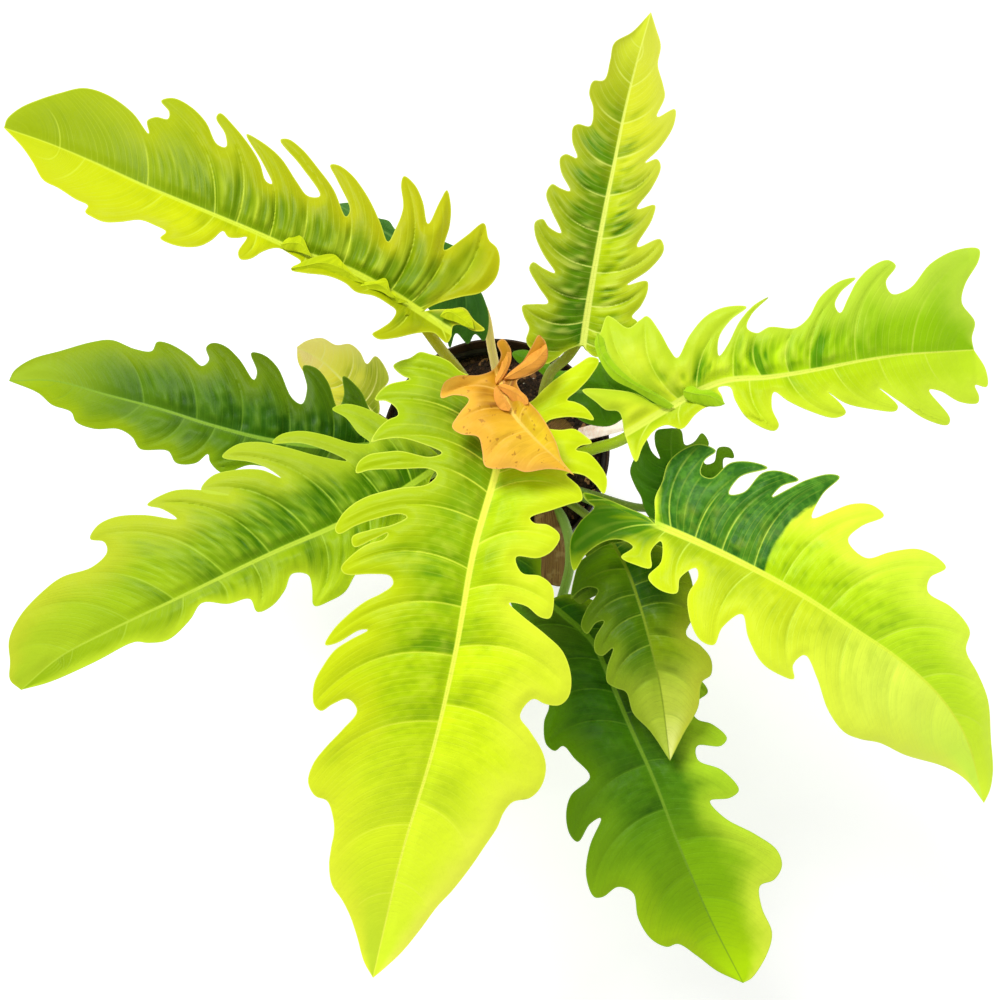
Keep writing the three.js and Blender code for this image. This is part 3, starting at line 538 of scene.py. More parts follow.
# Each kind of crumb: name, distance apart, most in a square metre, smallest, largest, length and
# thickness as shares of the width, seed, and its two colours.
CRUMBS = [
    ("peat_crumbs", 2.6, 160000, 1.6, 4.6, 1.25, 0.7, 11, paint(22, 16, 11), paint(92, 62, 39)),
    ("husk_chips", 8.5, 12000, 3.0, 6.5, 2.4, 0.22, 12, paint(98, 62, 33), paint(196, 148, 98)),
    ("pale_grit", 7.5, 9000, 0.9, 2.2, 1.1, 0.8, 13, paint(150, 138, 118), paint(226, 220, 206)),
]
scatter_tree = make_scatter_tree()
for name, apart, density, small, large, length, thickness, seed, dark, light in CRUMBS:
    crumbs = run_tree(name, scatter_tree, soil_surface(), {
        "Apart": apart * METRES, "Density": float(density), "Smallest": small * METRES,
        "Largest": large * METRES, "Length": length, "Thickness": thickness, "Seed": seed,
        "Material": make_crumb_skin(name, dark, light, 0.9),
    })
    settle(crumbs, "soil")

# Stem
# The short fleshy stem that every stalk grows from, rooted in the soil: olive green above, corky
# brown below, ringed by the scars of leaves that have fallen.
STEM_DIAMETER = 34
STEM_TOP_DIAMETER = 20
STEM_FOOT = np.array([25.0, -23, 118])
STEM_SHOULDER = np.array([28.0, -26, 168])
STEM_TOP = np.array([33.0, -30, 214])
STEM_SIDES = 72
STEM_RINGS = 90
SCAR_SPACING = 9
SCAR_DEPTH = 0.9
STEM_LUMPS = 0.35


def smooth_curve(points, count):
    """A smooth curve through the points, as count + 1 places on it."""
    p = np.asarray(points, float)
    p = np.vstack([2 * p[0] - p[1], p, 2 * p[-1] - p[-2]])
    along = np.linspace(0, len(p) - 3, count + 1)
    start = np.minimum(along.astype(int), len(p) - 4)
    t = (along - start)[:, None]
    a, b, c, d = (p[start + i] for i in range(4))
    ab, bc, cd = (np.maximum(np.linalg.norm(v, axis=1), 1e-6)[:, None] ** 0.5
                  for v in (b - a, c - b, d - c))
    leave = bc * ((b - a) / ab - (c - a) / (ab + bc) + (c - b) / bc)
    arrive = bc * ((c - b) / bc - (d - b) / (bc + cd) + (d - c) / cd)
    square = 3 * (c - b) - 2 * leave - arrive
    cube = 2 * (b - c) + leave + arrive
    return b + leave * t + square * t**2 + cube * t**3


def make_stem_skin():
    skin, start = new_skin("corky_stem")
    place = start.place()
    age = (place.part(2) + 0.03 * place.cloud(60)).rising(0.155, 0.205)
    bark = place.stretched(1, 1, 0.35).cloud(300, 5, 0.65)
    cork = bark.rising(0.35, 0.65).mix(paint(66, 50, 31), paint(134, 108, 72))
    green = bark.rising(0.3, 0.7).mix(paint(88, 96, 34), paint(132, 142, 58))
    finish_skin(start, age.mix(cork, green), 0.8 - 0.2 * age, bark, 1.2)
    return skin


def make_stem():
    axis = smooth_curve([STEM_FOOT, STEM_SHOULDER, STEM_TOP], STEM_RINGS)
    points = [axis[0]]
    for ring, centre in enumerate(axis):
        part = ring / STEM_RINGS
        taper = 2 * (STEM_DIAMETER - STEM_TOP_DIAMETER) * max(0, part - 0.5)
        scar = 0.5 + 0.5 * math.cos(2 * math.pi * centre[2] / SCAR_SPACING)
        radius = (STEM_DIAMETER - taper) / 2 - SCAR_DEPTH * scar**6
        for side in range(STEM_SIDES):
            angle = 2 * math.pi * side / STEM_SIDES
            lump = STEM_LUMPS * (math.sin(5 * angle + 0.2 * centre[2]) - 1)
            spoke = np.array([math.cos(angle), math.sin(angle), 0])
            points.append(centre + (radius + lump) * spoke)
    points.append(axis[-1] + [0, 0, 1.5])
    faces = stacked_faces(len(axis), STEM_SIDES)
    return add_piece("main_stem", points, faces, make_stem_skin(), 60)


settle(make_stem(), "stem", "stem")

# Front leaf
# The newest and largest leaf. Its blade is one limp sheet, cut into saw teeth and lobes, with a
# thick midrib and a vein to each lobe. Its fleshy stalk meets the blade under the midrib's base.

# The sheet and its midrib, which is a low dome above, between two grooves, and a keel below.
BLADE_THICKNESS = 0.7
SHEET_CREASE = 50
MIDRIB_DEPTH = 3.2
KEEL_WIDTH = 1.2
RIB_TAPER = 1.1
RIB_AT_TIP = 0.5
RIB_DOME = 0.4
RIB_GROOVE = 0.14
RIB_GROOVE_WIDTH = 1.8
# Its mesh, in steps of the view, with lanes of points along the midrib.
MESH_STEP = 2.0
CURVE_STEPS = 6
RIB_STEPS = 48
NARROWEST_LANE = 1.2
LANE_BEYOND = 1.6
# The side veins: how far they bow, how far they run on past their lobe, how little the first and
# the last of them reach round, and the groove along each.
VEIN_BOW = 0.3
VEIN_OVERRUN = 40
END_RELUCTANCE = 15
VEIN_GROOVE = 0.35
VEIN_GROOVE_WIDTH = 1.1
# The pleats and furrows between the veins, which fade out near midrib, margin and tip.
WIDEST_HUMP = 24
FURROW_HEIGHT = 0.07
FURROW_WAVE = 7
FURROW_SEED = 5
RELIEF_FROM_RIB = 8
RELIEF_FROM_MARGIN = 9
PLEAT_FADE = 0.85
PLEAT_FADE_SPAN = (0.35, 0.95)
# The puckers, the waves of the whole sheet and the drop at its margin.
PUCKER_WAVE = 9
PUCKER_SEEDS = (31, 47)
PUCKER_FADE = (0.4, 0.85)
PUCKER_REACH = (0.45, 0.95)
WAVE_LENGTH = 38
WAVE_SEED = 21
EDGE_DROP = 0.9
EDGE_DROP_WIDTH = 3.0
EDGE_DROP_FROM_RIB = (4, 14)
# How much painted shade darkens the dips between puckers, and how much painted highlight
# lightens their crests.
DEEPEST_DIP = 1.5
DIP_SHADE = 0.6
CREST_PAINTED_HIGHLIGHT = 0.3
# The margin where it has curled over, and the stalk with its seat under the midrib.
CURL_SLOPE = (-0.45, -0.4)
CURL_SAG = (3.0, 3.0)
SEAT_ON_RIB = 12
SEAT_GAP = 0.5
ROOT_IN_STEM = 0.15 * STEM_DIAMETER
STALK_SIDES = 20
STALK_STEPS = 60


def read_points(text):
    """Points written as x,y or as x,y,height."""
    return np.array([[float(n) for n in item.split(",")] for item in text.split()])


def distances(line):
    """How far along a line each of its points lies."""
    steps = np.linalg.norm(np.diff(line, axis=0), axis=1)
    return np.concatenate([[0], np.cumsum(steps)])


def even_line(line, step):
    """A line's places at even distances of about step, with its two ends."""
    lengths = distances(line)
    places = np.linspace(0, lengths[-1], max(2, round(lengths[-1] / step)) + 1)
    return np.stack([np.interp(places, lengths, part) for part in line.T], axis=1)


def from_line(points, line):
    """How far each point lies from a line: above 0 on its left side, below 0 on its right."""
    starts, spans = line[:-1], np.diff(line, axis=0)
    squares = np.maximum((spans**2).sum(1), 1e-9)
    found = []
    for part in np.array_split(points, 1 + len(points) * len(starts) // 2_000_000):
        away = part[:, None] - starts
        along = np.clip((away * spans).sum(2) / squares, 0, 1)
        gap = np.linalg.norm(away - along[..., None] * spans, axis=2)
        best = gap.argmin(1)
        rows = np.arange(len(part))
        near = away[rows, best]
        side = spans[best, 0] * near[:, 1] - spans[best, 1] * near[:, 0]
        found.append(np.where(side < 0, -1, 1) * gap[rows, best])
    return np.concatenate(found)


def is_inside(points, ring):
    x, y = points[:, 0, None], points[:, 1, None]
    (ax, ay), (bx, by) = ring.T, np.roll(ring, -1, axis=0).T
    with np.errstate(divide="ignore", invalid="ignore"):
        crosses = ((ay > y) != (by > y)) & (x < (bx - ax) * (y - ay) / (by - ay) + ax)
    return crosses.sum(1) % 2 == 1


def lanes_beside(rib_line, half_width, side):
    """Lanes of points along one side of the midrib, so that the mesh follows its edge."""
    ahead = np.gradient(rib_line, axis=0)
    ahead /= np.linalg.norm(ahead, axis=1)[:, None]
    outward = side * np.stack([ahead[:, 1], -ahead[:, 0]], axis=1)
    half_width = np.maximum(half_width, NARROWEST_LANE)[:, None]
    reaches = (0.5 * half_width, half_width, half_width + LANE_BEYOND)
    return np.vstack([rib_line + reach * outward for reach in reaches])


def cover(ring, step, lanes):
    """Points inside a closed outline, after its own, and triangles over the whole of it. The
    points come in an even grid, which gives way to the lanes."""
    low, high = ring.min(0), ring.max(0)
    row_height = step * math.sin(math.pi / 3)
    rows = np.arange(low[1] + 0.31 * step, high[1], row_height)
    columns = np.arange(low[0], high[0] + step, step)
    x, y = np.meshgrid(columns, rows)
    x = x + 0.5 * step * (np.arange(len(rows)) % 2)[:, None]
    inner = np.stack([x.ravel(), y.ravel()], axis=1)
    inner = inner[is_inside(inner, ring)]
    lanes = lanes[is_inside(lanes, ring)]
    closed = np.vstack([ring, ring[:1]])
    inner = inner[np.abs(from_line(inner, closed)) > 0.55 * step]
    lanes = lanes[np.abs(from_line(lanes, closed)) > 0.2 * step]
    clear = [((part[:, None] - lanes) ** 2).sum(2).min(1, initial=np.inf) > (0.75 * step) ** 2
             for part in np.array_split(inner, 1 + len(inner) * len(lanes) // 2_000_000)]
    points = np.vstack([ring, lanes, inner[np.concatenate(clear)]])
    sides = [(i, (i + 1) % len(ring)) for i in range(len(ring))]
    places, _, faces, origins, _, _ = delaunay_2d_cdt(
        [Vector(point) for point in points.tolist()], sides, [], 1, 1e-5)
    extra = []
    home = []
    for place, origin in zip(places, origins):
        if not origin:
            extra.append(place[:])
        home.append(origin[0] if origin else len(points) + len(extra) - 1)
    points = np.vstack([points, np.array(extra).reshape(-1, 2)])
    faces = np.array(home)[np.array(faces)]
    a, b, c = (points[faces[:, k]] for k in range(3))
    turn = (b - a)[:, 0] * (c - a)[:, 1] - (b - a)[:, 1] * (c - a)[:, 0]
    faces[turn < 0] = faces[turn < 0][:, ::-1]
    return points, faces[np.abs(turn) > 1e-9]


def soft_step(value, start, end):
    t = np.clip((value - start) / (end - start), 0, 1)
    return t * t * (3 - 2 * t)


class Surface:
    """The bent surface of a blade. A point of the view is measured along the midrib (station)
    and away from it (reach, above 0 on the right), in millimetres, and gets its height."""

    def __init__(self, rib, rise, rise_right, sag, back):
        self.scale = sight(VIEW_MIDDLE + 1, VIEW_MIDDLE, rib[0, 2])[0] - VIEW_AIM[0]
        self.nodes = smooth_curve(rib * [self.scale, -self.scale, 1], RIB_STEPS)
        self.spans = np.diff(self.nodes[:, :2], axis=0)
        self.lengths = np.linalg.norm(self.spans, axis=1)
        self.stations = distances(self.nodes[:, :2])
        self.length = self.stations[-1]
        self.rise, self.rise_right, self.sag, self.back = rise, rise_right or rise, sag, back

    def measure(self, flat):
        blur = 9
        away = flat[:, None] * self.scale - self.nodes[:-1, :2]
        units = self.spans / self.lengths[:, None]
        lowest = np.where(np.arange(RIB_STEPS) == 0, -np.inf, 0)
        along = np.clip((away * units).sum(2), lowest, self.lengths)
        gap = np.linalg.norm(away - along[..., None] * units, axis=2)
        side = away[..., 0] * units[:, 1] - away[..., 1] * units[:, 0]
        nearest = gap.min(1)
        weight = np.exp((nearest[:, None] ** 2 - gap**2) / (2 * blur**2))
        station = (weight * (self.stations[:-1] + along)).sum(1) / weight.sum(1)
        return station, np.sign((weight * side).sum(1)) * nearest

    def height(self, station, reach):
        part = np.clip(station / self.length, 0, 1)
        steep = np.where(reach > 0, self.rise_right[0], self.rise[0])
        gentle = np.where(reach > 0, self.rise_right[1], self.rise[1])
        rise = steep + (gentle - steep) * part
        sag = (self.sag[0] + (self.sag[1] - self.sag[0]) * part) / 100
        width = np.abs(reach)
        along_rib = np.interp(station, self.stations, self.nodes[:, 2])
        return along_rib + rise * width - sag * width**2 + self.back * np.maximum(0, -station)


def vein_lines(rib_line, veins, side):
    """The lines of the side veins, from the midrib to the tips of the lobes and past them, and the
    places of their roots along the midrib. Each vein is written as its root, in hundredths of the
    midrib, and the x,y of its lobe's tip."""
    lengths = distances(rib_line)
    lines, places = [], []
    for item in veins.split(";"):
        root_share, tip = item.split()
        place = float(root_share) / 100 * lengths[-1]
        places.append(place)
        root = np.array([np.interp(place, lengths, part) for part in rib_line.T])
        tip = read_points(tip)[0] * [1, -1]
        chord = tip - root
        baseward = np.array([chord[1], -chord[0]]) * side
        control = (root + tip) / 2 + VEIN_BOW * baseward
        t = np.linspace(0, 1, 17)[:, None]
        curve = (1 - t) ** 2 * root + 2 * t * (1 - t) * control + t**2 * tip
        onward = (curve[-1] - curve[-2]) / np.linalg.norm(curve[-1] - curve[-2])
        lines.append(np.vstack([curve, curve[-1] + VEIN_OVERRUN * onward]))
    return lines, places


def vein_places(points, lines, side):
    """Where each point lies among the veins: 2.5 is half-way from vein 2 to vein 3. Also how far
    apart, in steps of the view, the veins are there."""
    past = np.stack([side * from_line(points, line) for line in lines])
    count = len(lines)
    between = np.maximum(np.abs(np.diff(past, axis=0)), 3)
    at_vein = np.vstack([between[:1], (between[:-1] + between[1:]) / 2, between[-1:]])
    best = np.full(len(points), np.inf)
    place = np.zeros(len(points))
    apart = np.zeros(len(points))
    for k in range(-1, count):
        fits = np.ones(len(points), bool)
        cost = np.zeros(len(points))
        for vein, beyond in ((k, True), (k + 1, False)):
            if 0 <= vein < count:
                fits &= (past[vein] > 0) == beyond
                cost += np.abs(past[vein]) * (2 if k in (-1, count - 1) else 1)
        if k in (-1, count - 1):
            cost += END_RELUCTANCE
        if k < 0:
            here, width = past[0] / between[0], at_vein[0]
        elif k == count - 1:
            here, width = k + past[k] / between[-1], at_vein[-1]
        else:
            share = past[k] / np.maximum(past[k] - past[k + 1], 1e-6)
            here, width = k + share, at_vein[k] + (at_vein[k + 1] - at_vein[k]) * share
        chosen = fits & (cost < best)
        best = np.where(chosen, cost, best)
        place = np.where(chosen, here, place)
        apart = np.where(chosen, width, apart)
    return place, apart


def among_veins(points, rib_line, vein_text, side, scale):
    """Each point's place among the veins of its half, how far apart they are there, and its track:
    where a vein through the point would leave the midrib. Both are in millimetres."""
    lines, roots = vein_lines(rib_line, vein_text, side)
    place, apart = vein_places(points, lines, side)
    beyond = 4
    first, last = np.diff(roots)[[0, -1]]
    roots = np.concatenate([[roots[0] - beyond * first], roots, [roots[-1] + beyond * last]])
    numbers = np.concatenate([[-beyond], np.arange(len(lines)), [len(lines) - 1 + beyond]])
    return place, apart * scale, np.interp(place, numbers, roots) * scale


def pleat_height(place, apart, track, pleat, seed):
    """How far the tissue bulges between its veins, with fine furrows, and sinks along the veins."""
    phase = place - np.floor(place)
    hump = (4 * phase * (1 - phase)) ** 0.8 * np.minimum(apart, WIDEST_HUMP)
    to_vein = np.minimum(phase, 1 - phase) * apart
    furrows = FURROW_HEIGHT * ripple(track, 0 * track, FURROW_WAVE, FURROW_SEED + seed)
    groove = VEIN_GROOVE * np.exp(-((to_vein / VEIN_GROOVE_WIDTH) ** 2))
    return pleat * hump + furrows - groove


def pucker_height(track, share, reach, margin, free, pucker, stretch, seed):
    """The wrinkles that run along the veins: how strong and how high they are at each point."""
    outward = np.abs(reach) / (np.abs(reach) + margin + 1)
    strength = np.where(reach > 0, pucker[1], pucker[0])
    strength = strength * free * (1 - soft_step(share, *PUCKER_FADE))
    strength = strength * (1 - soft_step(outward, *PUCKER_REACH))
    coarse, fine = (start + seed for start in PUCKER_SEEDS)
    swell = 0.75 * ripple(track, stretch * reach, PUCKER_WAVE, coarse)
    swell += 0.5 * ripple(track, 1.6 * stretch * reach, 0.6 * PUCKER_WAVE, fine)
    return strength, swell


def close_sheet(name, upper, lower, faces, skin):
    """The two sides of a sheet and a wall along its rim, as one closed piece. Also a function that
    spreads what the corners of its faces hold over all the corners of the piece."""
    size = len(upper)
    pairs = np.concatenate([faces[:, [0, 1]], faces[:, [1, 2]], faces[:, [2, 0]]])
    rows = np.tile(np.arange(len(faces)), 3)
    starts = np.repeat(np.arange(3), len(faces))
    keys = pairs[:, 0] * size + pairs[:, 1]
    twins = pairs[:, 1] * size + pairs[:, 0]
    rim = ~np.isin(keys, twins)
    from_id, to_id = pairs[rim].T
    rim_rows, rim_starts = rows[rim], starts[rim]
    walls = np.concatenate([
        np.stack([from_id, from_id + size, to_id + size], axis=1),
        np.stack([from_id, to_id + size, to_id], axis=1),
    ])

    def with_walls(corner_values):
        first = corner_values[rim_rows, rim_starts]
        second = corner_values[rim_rows, (rim_starts + 1) % 3]
        sides = np.concatenate([np.stack([first, first, second], axis=1),
                                np.stack([first, second, second], axis=1)])
        return np.vstack([corner_values, corner_values[:, ::-1], sides]).ravel()

    points = np.vstack([upper, lower])
    triangles = np.vstack([faces, faces[:, ::-1] + size, walls])
    return add_piece(name, points, triangles.tolist(), skin, SHEET_CREASE), with_walls


def store(piece, label, domain, values):
    """Keeps a number for each point or corner of a piece on its mesh."""
    layer = piece.data.attributes.new(label, "FLOAT", domain)
    layer.data.foreach_set("value", values.astype(np.float32))


def make_blade(name, surface, rib, left, right, left_veins, right_veins, skin, pleat=0.06,
               midrib=3.4, wave=0.5, pucker=(0.2, 0.2), stretch=0.3, marks="", folded=False):
    """The blade as a closed sheet. pleat is how high the tissue bulges between two veins, as a
    share of their distance, midrib is half the midrib's width at its base, wave is how far the
    sheet undulates, pucker how high each half wrinkles along its veins, in wrinkles that are
    1 / stretch times as long as wide, and marks are soft dark spots: x,y,radius,strength. Some
    are darker tissue and some are painted cast shadows. A folded sheet shows its underside."""
    scale = surface.scale
    seed = len(name)
    rib_flat = rib[:, :2] * [1, -1]
    rib_line = even_line(smooth_curve(rib_flat, CURVE_STEPS * (len(rib) - 1)), MESH_STEP)
    shared = len(rib_line)
    along_rib = np.linspace(0, 1, shared)
    half_width = (midrib * (1 - along_rib) ** RIB_TAPER + RIB_AT_TIP) / scale
    flat = [rib_line]
    faces, veins, gaps, corner_tracks, edges = [], [], [], [], []
    humps, tracks = [np.zeros(shared)], [np.zeros(shared)]
    count = shared

    # The two halves, each from its outline and its veins. Both hold the points of the midrib.
    for outline, vein_text, side in ((left, left_veins, -1), (right, right_veins, 1)):
        corners = np.vstack([rib_flat[:1], read_points(outline) * [1, -1], rib_flat[-1:]])
        edge = even_line(smooth_curve(corners, CURVE_STEPS * (len(corners) - 1)), MESH_STEP)
        edges.append(edge)
        points, half = cover(np.vstack([rib_line, edge[-2:0:-1]]), MESH_STEP,
                             lanes_beside(rib_line, half_width, side))
        added = len(points) - shared
        ids = np.concatenate([np.arange(shared), count + np.arange(added)])
        count += added
        flat.append(points[shared:])
        place, apart, track = among_veins(points, rib_line, vein_text, side, scale)
        faces.append(ids[half])
        veins.append(place[half])
        gaps.append(apart[half])
        corner_tracks.append(track[half])
        humps.append(pleat_height(place, apart, track, pleat, seed)[shared:])
        tracks.append(track[shared:])

    # Where every point lies on the leaf, and how far it is raised there.
    flat = np.vstack(flat)
    faces = np.vstack(faces)
    station, reach = surface.measure(flat)
    station[:shared] = np.maximum(station[:shared], 0)
    reach[:shared] = 0
    margin = np.min([np.abs(from_line(flat, edge)) for edge in edges], axis=0) * scale
    share = np.clip(station / surface.length, 0, 1)
    rib_half = midrib * (1 - share) ** RIB_TAPER + RIB_AT_TIP
    off_rib = np.abs(reach) - rib_half
    free = soft_step(off_rib, 0, RELIEF_FROM_RIB)
    relief = np.concatenate(humps) * free
    relief = relief * (0.3 + 0.7 * soft_step(margin, 0, RELIEF_FROM_MARGIN))
    relief = relief * (1 - PLEAT_FADE * soft_step(share, *PLEAT_FADE_SPAN))
    relief += wave * free * ripple(*(flat.T * scale), WAVE_LENGTH, WAVE_SEED + seed)
    drop = EDGE_DROP * np.exp(-((margin / EDGE_DROP_WIDTH) ** 2))
    relief -= drop * soft_step(np.abs(reach), *EDGE_DROP_FROM_RIB)
    wrinkled, swell = pucker_height(np.concatenate(tracks), share, reach, margin, free, pucker,
                                    stretch, seed)
    relief += wrinkled * swell
    relief += RIB_DOME * np.cos(np.clip(reach / rib_half, -1, 1) * math.pi / 2) ** 2 * (1 - share)
    relief -= RIB_GROOVE * np.exp(-((off_rib / RIB_GROOVE_WIDTH) ** 2)) * (1 - share)
    middle = sight(flat[:, 0], -flat[:, 1], surface.height(station, reach) + relief)
    keel_shape = np.sqrt(np.clip(1 - (reach / (KEEL_WIDTH * rib_half)) ** 2, 0, 1))
    keel = MIDRIB_DEPTH * (1 - share) * keel_shape
    upper = middle + [0, 0, BLADE_THICKNESS / 2]
    lower = middle - np.stack([0 * keel, 0 * keel, BLADE_THICKNESS / 2 + keel], axis=1)

    # The closed sheet, with what its material reads from it.
    blade, with_walls = close_sheet(name, upper, lower, faces, skin)
    for label, values in (("vein", veins), ("gap", gaps), ("track", corner_tracks)):
        store(blade, label, "CORNER", with_walls(np.vstack(values)))
    # Soft dark spots: partly darker tissue, partly painted cast shadows.
    marked = np.zeros(len(flat))
    for x, y, radius, strength in read_points(marks) if marks else []:
        away = np.hypot(flat[:, 0] - x, flat[:, 1] + y) / radius
        marked += strength * np.exp(-(away**2))
    # The puckers' depth, painted as shade in their dips and as highlight on their crests.
    dip = np.clip(-swell, -DEEPEST_DIP, DEEPEST_DIP) * wrinkled
    sheet_values = {"station": share, "reach": reach, "margin": margin, "off_rib": off_rib,
                    "marked": marked, "dip": dip}
    for label, values in sheet_values.items():
        store(blade, label, "POINT", np.tile(values, 2))
    store(blade, "under", "POINT", np.repeat([1 if folded else 0, 1], len(flat)))
    return blade


def make_curl(parent, name, skin, rib, left, right):
    """A part of the margin that has curled up over the blade, or under it, and shows its
    underside. Its rib is written as x,y and how far it lies above the blade, or below 0 under
    it."""
    rib = read_points(rib)
    rib[:, 2] += parent.height(*parent.measure(rib[:, :2] * [1, -1]))
    veins = []
    for outline in (left, right):
        points = outline.split()
        veins.append(f"20 {points[len(points) // 4]}; 75 {points[3 * len(points) // 4]}")
    surface = Surface(rib, CURL_SLOPE, None, CURL_SAG, 0)
    return make_blade(name, surface, rib, left, right, *veins, skin, pleat=0.0, midrib=0.3,
                      wave=0.3, pucker=(0.0, 0.0), folded=True)


def join_pieces(whole, parts):
    """Makes the parts one object with the piece that they belong to."""
    with bpy.context.temp_override(active_object=whole, object=whole,
                                   selected_objects=[whole, *parts],
                                   selected_editable_objects=[whole, *parts]):
        bpy.ops.object.join()


def graded(share, colours):
    """One colour after another as share goes from 0 to 1."""
    steps = len(colours) - 1
    mixed = colours[0]
    for k, colour in enumerate(colours[1:]):
        mixed = share.rising(k / steps, (k + 1) / steps).mix(mixed, colour)
    return mixed


def make_blade_skin(name, left, right, lobes, shade, shading, rib, vein, margin_line, under,
                    shade_side=0.0, vein_strength=0.8, mottle=0.3, gloss=0.4, dark_span=None,
                    dark=None, specks=None, speck_share=0.0, edge_share=0.45, lobe_from=0.42,
                    rib_from=0.0, painted_glow=0.0):
    """left and right are the colours of the two halves from base to tip, lobes those of their
    lobes. shade is the colour of the painted shade beside the veins, on the side of each vein's
    groove that is turned from the light, and also of the darker spots, patches and underside
    streaks; shading is how much painted shade each half has beside its veins, and shade_side is 0
    where it lies on the tip's side of each vein, 1 on the base's side. The rib is pale past
    rib_from of its length, and glow is painted light that the blade gives off itself, standing in
    for the light that comes through it."""
    skin, start = new_skin(name)
    place = start.place()
    station, reach = start.read("station"), start.read("reach")
    veins, gap, track = start.read("vein"), start.read("gap"), start.read("track")
    margin, off_rib = start.read("margin"), start.read("off_rib")
    marked, below, dip = start.read("marked"), start.read("under"), start.read("dip")
    from_rib = abs(reach)
    right_side = reach.rising(-0.3, 0.3)
    phase = veins.fraction()
    to_vein = phase.least(1 - phase) * gap
    outward = from_rib / (from_rib + margin + 0.5)

    # Streaks and fibres that follow the veins, patches, blotches and a whim for each vein.
    along = from_rib * 0.016 + right_side * 9
    streak = start.vector(track * 0.16, along, station * 1.5).cloud(1.0, 3, 0.55)
    fibre = start.vector(track * 0.55, along * 1.6, station * 3).cloud(1.0, 3, 0.6)
    patch = start.vector(track * 0.075, from_rib * 0.028 + right_side * 9, station)
    patch = patch.cloud(1.0, 2, 0.5)
    blotch = place.cloud(42, 4, 0.6)
    whim = start.node("ShaderNodeTexWhiteNoise", {"noise_dimensions": "1D"},
                      {"W": start.maths("FLOOR", veins) + start.maths("SIGN", reach) * 37})

    # The two halves, their lobes, and the dark part of a variegated half.
    tissue = right_side.mix(graded(station, left), graded(station, right))
    to_lobe = (outward + 0.3 * (blotch - 0.5) + 0.2 * (streak - 0.5)).rising(lobe_from, 0.98)
    tissue = to_lobe.mix(tissue, right_side.mix(graded(station, lobes[0]),
                                                graded(station, lobes[1])))
    if dark_span is not None:
        edge = veins + 0.3 * (blotch - 0.5)
        dark_side = (1 - right_side) * edge.falling(dark_span[1] - 0.04, dark_span[1] + 0.06)
        dark_side = dark_side * edge.rising(dark_span[0] - 0.1, dark_span[0] + 0.1)
        cells = place.cloud(150, 3).rising(0.42, 0.66)
        deep = (cells * 0.55 + streak.rising(0.35, 0.65) * 0.45).mix(dark[0], dark[1])
        tissue = dark_side.mix(tissue, deep)

    # Painted shade beside the veins, on the side of each groove that is turned from the light,
    # deeper green in patches, dark spots that are partly darker tissue and partly painted cast
    # shadow, painted shade in the dips between puckers and a painted highlight on their crests.
    tip_side = phase.rising(0.0, 0.05) * phase.falling(0.05, 0.7)
    base_side = phase.falling(0.95, 1.0) * phase.rising(0.3, 0.95)
    beside = tip_side + (base_side - tip_side) * shade_side
    near_rib = outward.falling(0.2, 0.92)
    settled = station.falling(0.35, 0.85)
    at_tip = station.rising(0.86, 0.96)
    amount = shading[0] + (shading[1] - shading[0]) * right_side
    fade = station.falling(0.45, 0.92)
    shade_and_dark_tissue = amount * fade * beside * near_rib * (0.3 + 0.7 * whim) * (0.5 + streak)
    shade_and_dark_tissue = shade_and_dark_tissue + marked * (0.2 + 0.8 * streak.rising(0.35, 0.62))
    shade_and_dark_tissue = shade_and_dark_tissue + mottle * near_rib * settled * (patch.rising(0.42, 0.7) * 0.8
                                                     + streak.rising(0.44, 0.68) * 0.3)
    shade_and_dark_tissue = shade_and_dark_tissue + dip.most(0) * DIP_SHADE
    tissue = shade_and_dark_tissue.most(0).least(1).mix(tissue, shade)
    tissue = ((0 - dip).most(0) * CREST_PAINTED_HIGHLIGHT).least(0.6).mix(tissue, rib)

    # Fine parallel lines, the side veins, the margin, the midrib, specks and the underside.
    fine_phase = (track * 0.22).fraction()
    fine_line = fine_phase.least(1 - fine_phase).falling(0.03, 0.13) * margin.rising(1, 5)
    fine_line = fine_line * (1 - at_tip)
    tissue = (fine_line * 0.22 * vein_strength * streak.rising(0.3, 0.55)).mix(tissue, vein)
    tissue = (fibre.falling(0.25, 0.45) * 0.14 * vein_strength).mix(tissue, vein)
    line = to_vein.falling(0.15, 0.9) * outward.falling(0.45, 0.97) * (1.15 - 0.6 * station)
    line = line * (1 - at_tip)
    tissue = (line * vein_strength).least(1).mix(tissue, vein)
    tissue = (margin.falling(0.2, 1.1) * edge_share).mix(tissue, margin_line)
    rib_edge = off_rib.falling(-0.9, -0.1) * 0.7 + 0.3
    rib_edge = (rib_edge * 0.8 + 0.2) * station.rising(rib_from - 0.03, rib_from + 0.01)
    tissue = off_rib.falling(-0.35, 0.35).mix(tissue, rib_edge.mix(tissue, rib))
    if specks is not None:
        spots = place.cloud(230, 2, 0.5).rising(0.66, 0.7) * speck_share
        tissue = spots.mix(tissue, specks)
    underside = (streak.rising(0.42, 0.68) * 0.3).mix(under, shade)
    tissue = (below * 0.8).mix(tissue, underside)

    # Gloss, fine relief, and painted light that the blade gives off itself, for the light that
    # comes through it.
    pores = place.cloud(2600, 2)
    dents = place.cloud(110, 3, 0.55)
    roughness = gloss + 0.16 * (blotch - 0.5) + 0.2 * below
    lines = (0.4 * streak + 0.15 * fibre - 0.1 * fine_line) * (1 - 0.8 * at_tip)
    height = lines + 0.8 * dents + 0.1 * pores
    through = {"Emission_Color": tissue, "Emission_Strength": painted_glow} if painted_glow else {}
    finish_skin(start, tissue, roughness, height, 0.7, Specular_IOR_Level=0.1, **through)
    return skin


